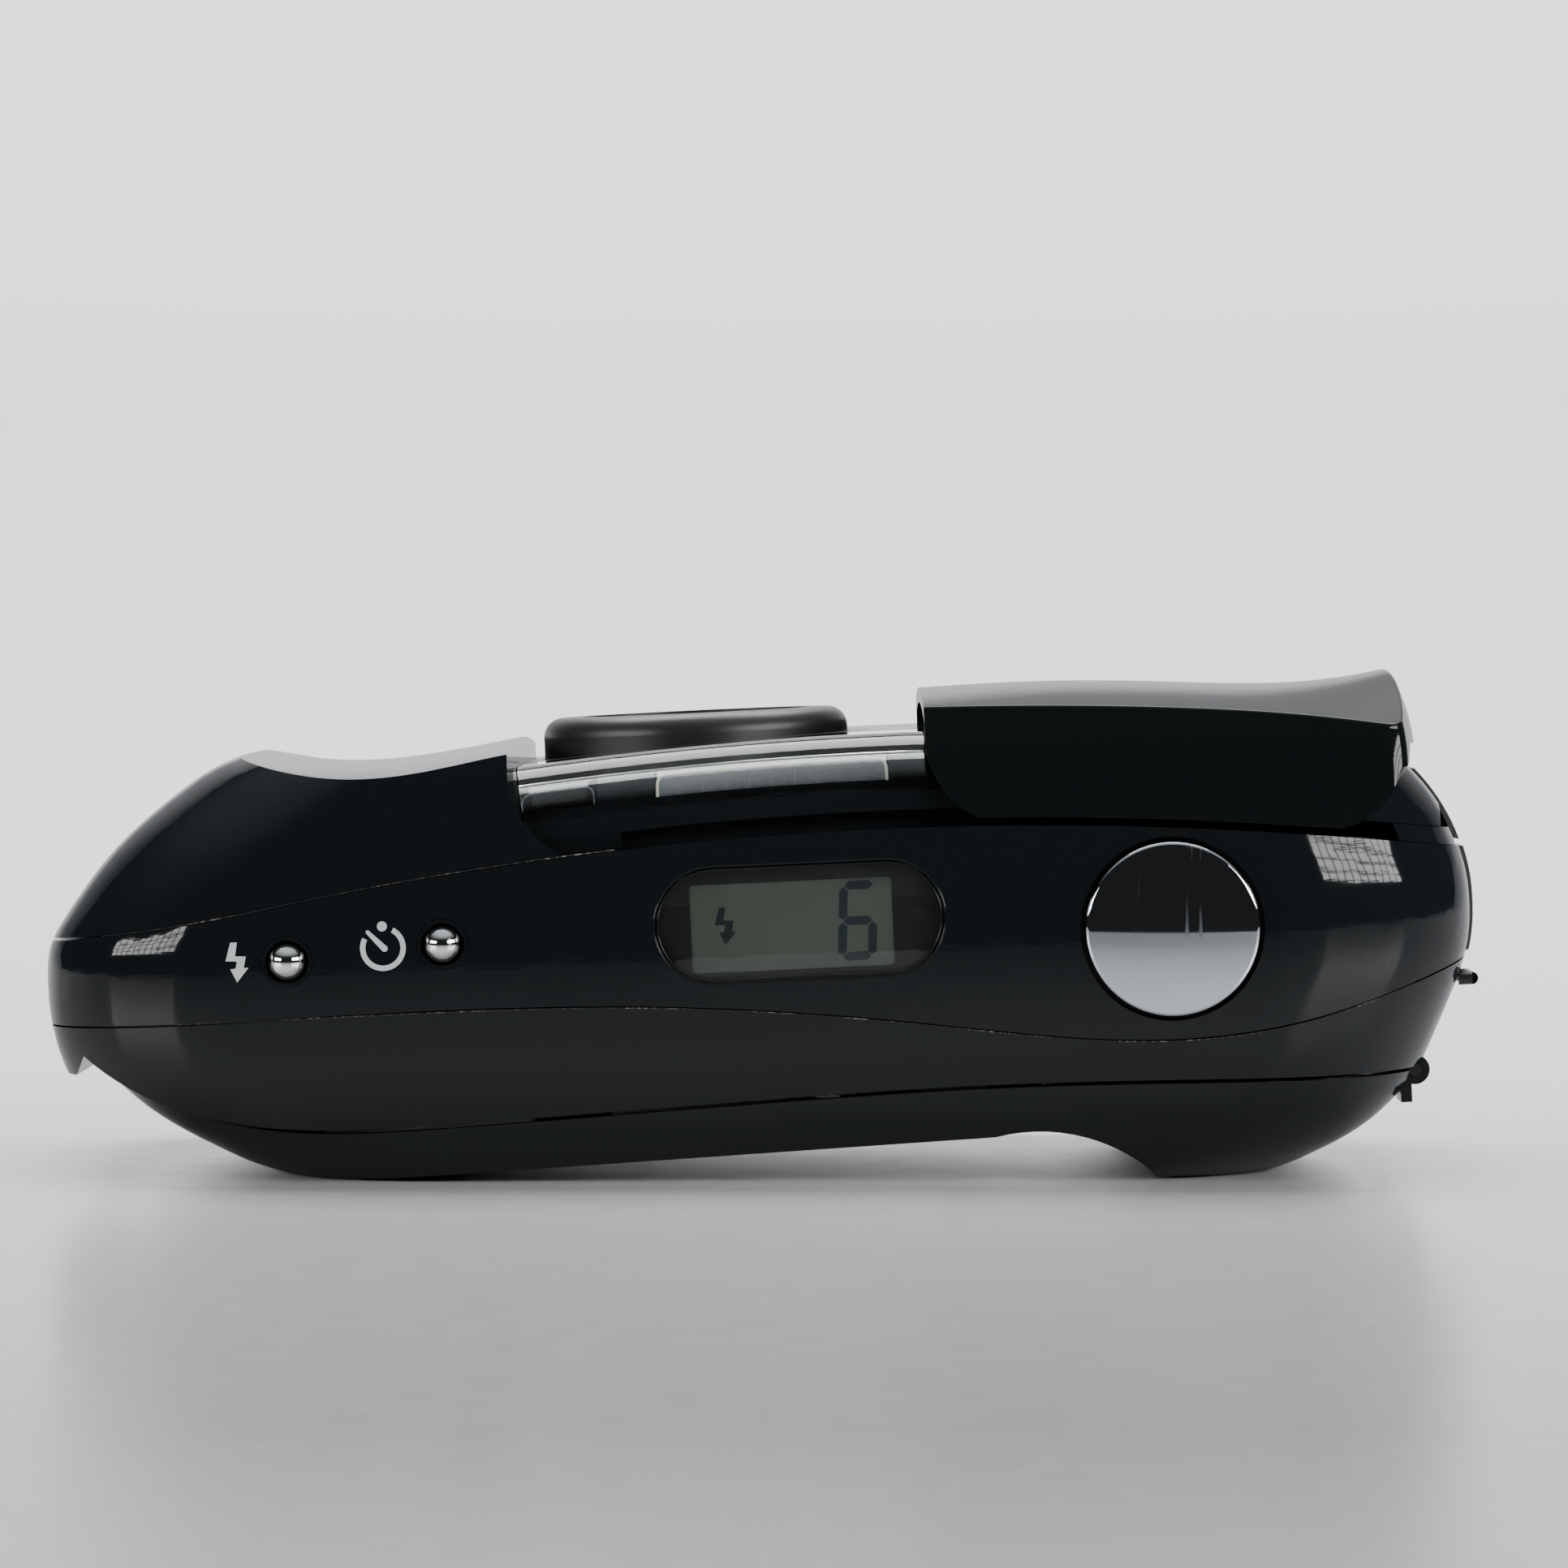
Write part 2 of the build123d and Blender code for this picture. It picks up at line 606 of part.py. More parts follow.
def chassis():
    bottom = 3.0
    body = body_skin(wall + 0.1) & block(-70, 70, -40, 40, plate_level, plate_level + plate_thickness)
    end = cartridge_bay_half + bay_wall
    body += bay(cartridge_x, cartridge_z, cartridge_bay_radius + bay_wall, -end, end, bottom)
    body += bay(spool_x, spool_z, spool_bay_radius + bay_wall, -21.8, 21.8, bottom)
    body += y_rod(battery_x, battery_z, battery_radius + 1.0, battery_start - 2.4, 19.6)
    film_plate = block(-24.6, 13.4, -18.4, 18.4, film_level + 0.4, film_level + 1.6)
    body += film_plate
    for y in (-17.9, -12.6, 12.6, 17.9):
        body += block(-24.0, 13.2, y - 0.4, y + 0.4, film_level, film_level + 0.5)
    gate_x0, gate_x1 = lens_x - gate_width / 2, lens_x + gate_width / 2
    body += frustum(gate_x0 - 1, gate_x1 + 1, gate_height / 2 + 1, film_level + 1.0, 10.6, box_top)
    body -= frustum(gate_x0, gate_x1, gate_height / 2, film_level - 1.0, 9.6, box_top + 0.01)
    body -= bay(cartridge_x, cartridge_z, cartridge_bay_radius, -cartridge_bay_half, cartridge_bay_half, 0.0)
    body -= bay(spool_x, spool_z, spool_bay_radius, -20.8, 20.8, 0.0)
    body -= y_rod(battery_x, battery_z, battery_radius + 0.2, battery_start - 1.5, 30.0)
    g = pocket_gap
    body -= block(finder_x0 - g, finder_x1 + g, finder_y0 - 4, finder_y1 + g, 0, 40)
    body -= block(sprocket_x - 5.0, 13.41, sprocket_y0 - 0.3, sprocket_y1 + 0.3, 0, plate_level + 5)
    for y in (sprocket_y0 - 0.9, sprocket_y1 + 0.3):
        body += block(sprocket_x - 1.8, sprocket_x + 1.8, y, y + 0.6, film_level + 1.5, plate_level + 0.5)
    body -= y_rod(sprocket_x, sprocket_z, 0.9 + running_gap, 12.0, 18.0)
    body += y_rod(spool_x, spool_z, 1.5, -20.9, -17.2)
    body -= y_rod(cartridge_x, cartridge_z, 2.0 + running_gap, 23.0, 26.0)
    body -= y_rod(cartridge_x, cartridge_z, fork_flange_radius + 0.4, end, 40.0)
    body -= block(shutter_x - 9.0, shutter_x + 9.0, -40, -25.4, 0, 40)
    body -= block(battery_x - 8.3, battery_x + 8.7, 19.6, 40, 0, 30)
    body -= block(-60, -53.3, -3.5, 8.0, 0, 30)
    body -= door_rim(0.0, 0.2, 1.5)
    body -= (skin_outer - body_skin(flange_width + 0.1)) & above(seam_a(-1.4)) & below(seam_a(0.2))
    return body & body_skin(wall + 0.1) & above(seam_c(door_gap))


def frustum(x0, x1, half, z0, top_half, z1):
    lower = Wire(Polyline((x0, -half, z0), (x1, -half, z0), (x1, half, z0), (x0, half, z0), close=True).edges())
    t = top_half
    left, right = lens_x - 1.15 * t, lens_x + 1.15 * t
    upper = Wire(Polyline((left, -t, z1), (right, -t, z1), (right, t, z1), (left, t, z1), close=True).edges())
    return Solid.make_loft([lower, upper], ruled=True)


def lens_mount():
    tube = ring(lens_x, 0, mount_radius, 13.7, box_top + 0.1, 28.5)
    return tube + ring(lens_x, 0, mount_radius, 11.3, box_top + 0.1, box_top + 0.9)


def drive_barrel():
    return ring(lens_x, 0, 13.6, lens_ring_radius + barrel_gap, 17.6, 28.0)


def outer_barrel():
    tube = z_rod(lens_x, 0, lens_ring_radius, 17.8, lens_front)
    front_edge = tube.edges().filter_by(GeomType.CIRCLE).sort_by(Axis.Z)[-1]
    tube = fillet(front_edge, 1.6)
    tube -= z_rod(lens_x, 0, 11.4, 17.0, 33.7)
    return tube - z_rod(lens_x, 0, 9.25, 30.0, 40.0)


def inner_barrel():
    tube = z_rod(lens_x, 0, 9.15, 18.6, 34.5)
    front_edge = tube.edges().filter_by(GeomType.CIRCLE).sort_by(Axis.Z)[-1]
    tube = fillet(front_edge, 0.5)
    tube += z_rod(lens_x, 0, 11.4 - barrel_gap, 18.6, 20.2)
    tube -= z_rod(lens_x, 0, 8.0, 18.0, 33.2)
    tube -= z_rod(lens_x, 0, 4.9, 30.0, 40.0)
    cone = Pos(lens_x, 0, 34.1) * Cone(4.9, 6.6, 0.9)
    return tube - cone


def dome_height(radius, rise, reach):
    """Height above the rim of a spherical dome, at a distance from its axis."""
    sphere = (radius ** 2 + rise ** 2) / (2 * rise)
    return math.sqrt(sphere ** 2 - reach ** 2) - (sphere - rise)


def lens_glass(radius, edge_low, edge_high, rise):
    """A round lens with a straight rim between two spherical faces."""
    x, half = lens_x, radius / 2
    middle = dome_height(radius, rise, half)
    profile = [
        Line((x, 0, edge_low - rise), (x, 0, edge_high + rise)),
        ThreePointArc((x, 0, edge_high + rise), (x + half, 0, edge_high + middle), (x + radius, 0, edge_high)),
        Line((x + radius, 0, edge_high), (x + radius, 0, edge_low)),
        ThreePointArc((x + radius, 0, edge_low), (x + half, 0, edge_low - middle), (x, 0, edge_low - rise)),
    ]
    return revolve(make_face(Wire(profile)), Axis((x, 0, 0), (0, 0, 1)))


def shutter_unit():
    unit = ring(lens_x, 0, 7.9, 4.2, 24.6, 28.8)
    return unit + z_rod(lens_x, 0, 4.3, 26.0, 26.3)


# Film drive
def film_spool():
    spool = y_rod(spool_x, spool_z, spool_radius, -19.0, 19.0)
    for y0, y1 in ((-19.0, -17.8), (17.8, 19.0)):
        spool += y_rod(spool_x, spool_z, 9.6, y0, y1)
    spool -= y_rod(spool_x, spool_z, 5.4, -17.3, 20.0)
    spool -= y_rod(spool_x, spool_z, 1.5 + running_gap, -20.0, -17.0)
    ribs = [Rot(0, a, 0) * Pos(spool_radius + 0.2, 0, 0) * Box(0.9, 33.0, 1.0) for a in range(0, 360, 60)]
    for rib in ribs:
        spool += Pos(spool_x, 0, spool_z) * rib
    return spool


def film_motor():
    motor = y_rod(spool_x, spool_z, 5.0, -15.5, 20.75)
    return motor + y_rod(spool_x, spool_z, 1.0, -17.0, -15.5)


def rewind_fork():
    end = cartridge_bay_half
    fork = y_rod(cartridge_x, cartridge_z, 2.0, end - 2.0, end + bay_wall + 0.5)
    fork += y_rod(cartridge_x, cartridge_z, fork_flange_radius, end + bay_wall + 0.3, end + bay_wall + 1.5)
    for side in (-1, 1):
        middle = cartridge_x + side * 1.2
        fork += block(middle - 0.5, middle + 0.5, end - 3.8, end - 1.9, cartridge_z - 0.5, cartridge_z + 0.5)
    return fork


def film_sprocket():
    wheel = y_rod(sprocket_x, sprocket_z, sprocket_radius - 0.6, sprocket_y0, sprocket_y1)
    wheel += y_rod(sprocket_x, sprocket_z, 0.9, sprocket_y0 - 0.85, sprocket_y1 + 0.85)
    for a in range(0, 360, 45):
        tooth = Rot(0, a, 0) * Pos(sprocket_radius - 0.5, 0, 0) * Box(1.2, 1.0, 0.9)
        wheel += Pos(sprocket_x, (sprocket_y0 + sprocket_y1) / 2, sprocket_z) * tooth
    return wheel


# Sliding cover
def sliding_cover():
    levels = [20.0, 24.0, 27.0, 30.0, 33.0, 36.0, 39.0]

    def outline(z, inset, left):
        half = half_height(z) - inset
        side, tip = cover_side_end - inset, cover_right - inset
        return Wire([
            Line((left, -half, z), (side, -half, z)),
            ThreePointArc((side, -half, z), (tip, 0, z), (side, half, z)),
            Line((side, half, z), (left, half, z)),
            Line((left, half, z), (left, -half, z)),
        ])

    outer = Solid.make_loft([outline(z, 0.0, 5.0) for z in levels])
    inner = Solid.make_loft([outline(z, cover_wall, 4.0) for z in levels])
    foot = seam_radius + 0.1 + cover_lift
    left = cover_left_edge(foot)
    corner = 4.5
    on_track = track_point(cover_left + 3.8, foot)
    right_foot = track_point(cover_side_end - corner, foot)
    side = through_y([
        left[0],
        left[1],
        ThreePointArc(on_track, track_point(33.0, foot), right_foot),
        ThreePointArc(right_foot, p(cover_side_end - 1.1, right_foot[2] + 1.6), p(cover_side_end + 0.5, right_foot[2] + corner)),
        Line(p(cover_side_end + 0.5, right_foot[2] + corner), p(60, right_foot[2] + corner + 1.5)),
        Line(p(60, right_foot[2] + corner + 1.5), p(60, 45)),
        Line(p(60, 45), left[0] @ 0),
    ])
    cover = outer & side & face_prism(cover_face)
    cover -= inner & face_prism(cover_face, cover_wall)
    cover -= track_wedge(core_profile(cover_clear, 270.0), 0.0, 62.0)
    tab_low, tab_high = foot, slot_top_radius - 0.25
    tabs = track_wedge(plain_profile(28.6, tab_low, tab_high), 24.5, 44.0)
    tabs -= block(0, 60, -26.0, 26.0, 0, 60)
    return cover + tabs


# Controls
def shutter_button():
    rise = shutter_rise
    edge, back = -half_height(shutter_z) - shutter_edge_proud, -27.8
    top = edge - rise
    x, z, r = shutter_x, shutter_z, shutter_radius
    profile = [
        Line((x, top, z), (x, back, z)),
        Line((x, back, z), (x + r, back, z)),
        Line((x + r, back, z), (x + r, edge, z)),
        ThreePointArc((x + r, edge, z), (x + r / 2, edge - dome_height(r, rise, r / 2), z), (x, top, z)),
    ]
    button = revolve(make_face(Wire(profile)), Axis((x, 0, z), (0, 1, 0)))
    button += y_rod(x, z, shutter_radius + 0.8, -27.3, -26.9) & block(x - 9, x + 9, -28, -26, z - 6, z + 6)
    return button + y_rod(x, z, 2.0, back, -26.7)


def ball_button(x, z):
    centre = -half_height(z) + 0.35
    ball = Pos(x, centre, z) * Sphere(ball_radius)
    return ball + y_rod(x, z, 0.9, centre, -27.2)


def button_bezel(x, z):
    outer = y_rod(x, z, bezel_radius - 0.03, -half_height(z) - 0.05, -28.3)
    hole = y_rod(x, z, ball_radius + button_gap, -40, -20)
    recess = Pos(x, -half_height(z) - 0.05, z) * Rot(90, 0, 0) * Cone(1.6, 1.9, 0.5)
    return outer - hole - recess


def lcd_window():
    window = stadium(lcd_x, lcd_z, lcd_window_width - 0.1, lcd_window_height - 0.1, -40, -20)
    return window & (skin_outer - body_skin(panel_thickness))


def lcd_display():
    return block(lcd_x - 0.55 - lcd_width / 2, lcd_x - 0.55 + lcd_width / 2, -28.2, -26.5, lcd_z - 4.1, lcd_z + 3.4)


def circuit_board():
    board = block(-11.6, 24.4, -26.4, -25.7, plate_level + plate_thickness + 0.1, 23.0)
    return board + block(-9.0, -3.0, -25.7, -24.9, 15.0, 20.0) + block(14.0, 22.0, -25.7, -24.9, 14.5, 20.5)


def switch_posts():
    posts = [block(shutter_x - 2.2, shutter_x + 2.2, -25.7, -21.85, shutter_z - 2.2, shutter_z + 2.2)]
    for x, z in ((flash_button_x, flash_button_z), (timer_button_x - 1.2, timer_button_z)):
        posts.append(block(x - 1.6, x + 1.6, -26.5, -24.65, z - 1.6, z + 1.6))
    return posts


def side_pad(thickness, region, gap=0.0):
    return (body_skin(-thickness) - body_skin(-gap)) & region


def door_latch():
    pad = side_pad(0.7, block(-60, -52, -8.5, 8.5, 12.4, 18.8), 0.15)
    stem = block(-57.4, -54.4, -2.0, 2.0, 14.7, 16.3)
    arm = block(-54.4, -53.7, -2.0, 2.0, 9.6, 16.3)
    return (pad + stem + arm) - block(-55.5, -50, -9, 9, 0, 9.6)


def right_trim():
    pad = side_pad(0.5, block(50, 60, -12, 12, 12.9, 22.2))
    return pad & above(seam_b(0.2)) & below(seam_a(-0.2))


def front_trim():
    return side_pad(0.45, block(50, 60, -11, 11, 22.0, 28.2)) & above(seam_a(0.3))


def strap_lug():
    x, z = 56.9, 11.3
    root = right_reach(z) + 0.08
    bar = y_rod(x, z, 0.5, -15.0, -9.0)
    for y in (-15.0, -9.0):
        bar += x_rod(y, z, 0.5, root, x) + Pos(x, y, z) * Sphere(0.5)
    return bar


def battery_door():
    plate = (skin_outer - skin_inner) & battery_opening(0.2)
    x0, x1 = battery_lug_middle()
    y, z = battery_hinge_y(), battery_hinge_z()
    for a, b in ((x0 - 1.6, x0 - 0.2), (x1 + 0.2, x1 + 1.6)):
        plate += x_rod(y, z, 0.6, a, b) + block(a, b, y - 1.0, y, z + 0.1, z + 1.6)
    plate -= x_rod(y, z, 0.7, x0 - 0.2, x1 + 0.2)
    return plate - x_rod(y, z, 0.3 + running_gap, x0 - 3, x1 + 3)


def battery_contact():
    contact = y_rod(battery_x, battery_z, 4.0, battery_start - 1.45, battery_start - 1.05)
    return contact + Pos(battery_x, battery_start - 0.55, battery_z) * Rot(90, 0, 0) * Cone(1.2, 2.6, 1.0)


def tripod_socket():
    face = half_height(tripod_z) - 0.1
    socket = y_rod(tripod_x, tripod_z, socket_radius, face - tripod_depth - 0.4, face)
    return socket - y_rod(tripod_x, tripod_z, tripod_radius, face - tripod_depth, 40)


# Flash and viewfinder
def flash_window():
    lens = block(flash_x0, flash_x1, flash_y0, flash_y1, flash_lens_level, 40)
    return lens & track_wedge(core_profile(-panel_thickness - 0.15, 280.0), -12.0, 16.0)


def flash_reflector():
    top = flash_lens_level - 0.1
    shell = block(flash_x0, flash_x1, flash_y0, flash_y1, 22.0, top)
    middle = (flash_y0 + flash_y1) / 2
    trough = x_rod(middle, top + 0.8, 3.6, flash_x0 + 0.5, flash_x1 - 0.5)
    return shell - trough


def flash_tube():
    middle = (flash_y0 + flash_y1) / 2
    return x_rod(middle, flash_lens_level - 1.6, 0.9, flash_x0 + 0.5, flash_x1 - 0.5)


def finder_objective():
    y0, y1 = finder_y0 + 0.1, finder_y1
    lens = loft_box(finder_x0 + 1.2, finder_x1 - 1.2, finder_x0 + 0.1, finder_x1 - 0.1, y0, y1, 27.8, 32.0)
    return lens & track_wedge(core_profile(-panel_thickness - 0.15, 280.0), -23.0, -8.0)


def loft_box(a0, a1, b0, b1, y0, y1, z0, z1):
    return through_span([p(a0, z0), p(a1, z0), p(b1, z1), p(b0, z1)], y0, y1)


def through_span(points, y0, y1):
    edges = [Line(points[i], points[(i + 1) % len(points)]) for i in range(len(points))]
    solid = extrude(make_face(Wire(edges)), amount=50, both=True)
    return solid & block(-100, 100, y0, y1, -100, 100)


def finder_housing():
    tube = block(finder_x0, finder_x1, finder_y0, finder_y1, 3.4, 27.6)
    return tube - block(finder_x0 + 0.8, finder_x1 - 0.8, finder_y0 + 0.8, finder_y1 - 0.8, 3.0, 30.0)


def finder_eyepiece():
    g = 0.8 + running_gap
    return block(finder_x0 + g, finder_x1 - g, finder_y0 + g, finder_y1 - g, 3.6, 5.2)


def flash_capacitor():
    return x_rod(19.7, 24.3, 4.2, -19.0, 9.0) + x_rod(19.7, 24.3, 3.4, 9.0, 9.8)


def nodes():
    return {
        "front_shell": front_shell(),
        "window_panel": window_panel(),
        "lens_collar": lens_collar(),
        "top_belt": belt(),
        "rear_shell": rear_shell(),
        "chassis": chassis(),
        "lens_mount": lens_mount(),
        "flash_window": flash_window(),
        "flash_reflector": flash_reflector(),
        "flash_tube": flash_tube(),
        "finder_objective": finder_objective(),
        "finder_housing": finder_housing(),
        "finder_eyepiece": finder_eyepiece(),
        "lcd_window": lcd_window(),
        "lcd_display": lcd_display(),
        "circuit_board": circuit_board(),
        "switch_posts": switch_posts(),
        "flash_button_bezel": button_bezel(flash_button_x, flash_button_z),
        "timer_button_bezel": button_bezel(timer_button_x, timer_button_z),
        "flash_capacitor": flash_capacitor(),
        "film_motor": film_motor(),
        "battery": y_rod(battery_x, battery_z, battery_radius, battery_start, battery_start + battery_length),
        "battery_contact": battery_contact(),
        "battery_door_pin": x_rod(battery_hinge_y(), battery_hinge_z(), 0.3,
                                  battery_lug_middle()[0] - 1.6, battery_lug_middle()[1] + 1.6),
        "door_hinge_pin": y_rod(hinge_x, hinge_z, hinge_pin_radius, -15.5, 15.5),
        "tripod_socket": tripod_socket(),
        "right_trim": right_trim(),
        "front_trim": front_trim(),
        "strap_lug": strap_lug(),
        "sliding_cover": sliding_cover(),
        "drive_barrel": drive_barrel(),
        "outer_barrel": outer_barrel(),
        "inner_barrel": inner_barrel(),
        "front_lens": lens_glass(4.85, 31.6, 33.4, 0.6),
        "rear_lens": lens_glass(7.95, 20.6, 22.2, 0.8),
        "shutter_unit": shutter_unit(),
        "shutter_button": shutter_button(),
        "flash_button": ball_button(flash_button_x, flash_button_z),
        "timer_button": ball_button(timer_button_x, timer_button_z),
        "back_door": back_door(),
        "rocker_bracket": rocker_bracket(),
        "pressure_plate": pressure_plate(),
        "pressure_spring": pressure_spring(),
        "eyepiece_window": door_glass(eyepiece, 0.9, 2.0),
        "film_window": door_glass(film_window_box, 1.3, 2.2),
        "zoom_rocker": zoom_rocker(),
        "door_latch": door_latch(),
        "battery_door": battery_door(),
        "film_spool": film_spool(),
        "rewind_fork": rewind_fork(),
        "film_sprocket": film_sprocket(),
    }


def rest_tilt():
    """Angle in degrees that brings the two back bulges onto one level."""
    lx, lz, left = door_left
    hx, hz, hump = hump_right
    spread = math.hypot(hx - lx, hz - lz)
    lean = math.atan2(lz - hz, hx - lx)
    return math.degrees(lean - math.asin((left - hump) / spread))


def turned(x, z):
    a = math.radians(rest_tilt())
    return x * math.cos(a) - z * math.sin(a), x * math.sin(a) + z * math.cos(a)


def rest_shift():
    """Moves the turned camera so that it stands on z = 0, centred about x = 0 and y = 0."""
    low = turned(hump_right[0], hump_right[1])[1] - hump_right[2]
    left = turned(belt_left[0], belt_left[1])[0] - belt_left[2]
    right = turned(belt_right[0], belt_right[1])[0] + belt_right[2]
    dome = half_height(shutter_z) + shutter_edge_proud + shutter_rise
    return -(left - 0.7 + right + 0.5) / 2, (dome - body_height / 2) / 2, -low


def lay_down(solid):
    place = Location(rest_shift()) * Location((0, 0, 0), (0, -rest_tilt(), 0))
    return place * solid


def main():
    os.makedirs("parts", exist_ok=True)
    for name, shape in nodes().items():
        solids = shape if isinstance(shape, list) else shape.solids()
        placed = [lay_down(solid) for solid in solids]
        export_step(Compound(children=placed) if len(placed) > 1 else placed[0], f"parts/{name}.step")
        print(name, len(placed))


if __name__ == "__main__":
    main()
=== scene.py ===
"""Looks of a compact film camera that lies on its back with its front cover slid open.

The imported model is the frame. The sliding cover and the shutter button are worked out again
as finer surfaces from the same sizes. The other nodes keep their mesh and get a finish, and
fine pieces such as prints, rims and dust are added. Shapes are worked out in millimetres in
the design frame (+Z out of the lens, -Y out of the top plate) and then laid down to the row
frame in metres.
"""

import json
import logging
import math
from dataclasses import dataclass
from enum import Enum
from typing import Callable, Dict, List, Optional, Sequence, Tuple

import bmesh
import bpy
import numpy as np
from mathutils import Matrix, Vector

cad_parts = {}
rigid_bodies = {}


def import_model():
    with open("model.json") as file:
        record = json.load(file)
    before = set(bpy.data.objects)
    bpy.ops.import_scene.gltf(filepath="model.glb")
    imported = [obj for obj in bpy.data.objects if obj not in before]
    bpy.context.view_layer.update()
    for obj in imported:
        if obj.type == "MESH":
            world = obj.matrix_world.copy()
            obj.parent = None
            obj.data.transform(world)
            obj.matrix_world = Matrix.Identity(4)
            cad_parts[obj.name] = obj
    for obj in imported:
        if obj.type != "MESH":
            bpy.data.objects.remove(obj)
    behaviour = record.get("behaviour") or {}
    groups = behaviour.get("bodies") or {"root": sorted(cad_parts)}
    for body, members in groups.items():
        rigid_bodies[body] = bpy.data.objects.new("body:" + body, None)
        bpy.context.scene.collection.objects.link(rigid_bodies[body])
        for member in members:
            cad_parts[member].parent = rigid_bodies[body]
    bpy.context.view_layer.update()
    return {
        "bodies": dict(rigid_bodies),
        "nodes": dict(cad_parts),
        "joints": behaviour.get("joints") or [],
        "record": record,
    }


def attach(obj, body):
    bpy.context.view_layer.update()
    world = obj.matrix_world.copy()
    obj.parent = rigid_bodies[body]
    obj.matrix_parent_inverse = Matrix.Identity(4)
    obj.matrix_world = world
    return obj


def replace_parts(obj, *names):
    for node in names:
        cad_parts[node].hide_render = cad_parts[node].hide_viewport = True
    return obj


log = logging.getLogger("film_camera")
Array = np.ndarray
Pair = Tuple[float, float]
Triple = Tuple[float, float, float]
Circle = Tuple[float, float, float]
Mesh = Tuple[Array, List[List[int]]]
MM = 0.001


class Body(str, Enum):
    """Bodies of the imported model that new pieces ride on."""

    MAIN = "body"
    COVER = "cover"
    SHUTTER = "shutter_release"


class Slot(str, Enum):
    """Material slots of the record that new pieces fall under."""

    SHELL = "gloss_shell"
    COVER = "gloss_cover"
    WINDOW = "clear_window"
    FLASH = "flash_glass"
    SATIN = "satin_black"
    INNER = "inner_black"
    CHROME = "chrome"
    LCD = "lcd_panel"
    TRIM = "grey_trim"


# Form


def reach(circle: Circle, z: Array) -> Array:
    """Half width of a circle at a level: the square root of radius squared less height squared."""
    return np.sqrt(np.maximum(circle[2] ** 2 - (z - circle[1]) ** 2, 0.0))


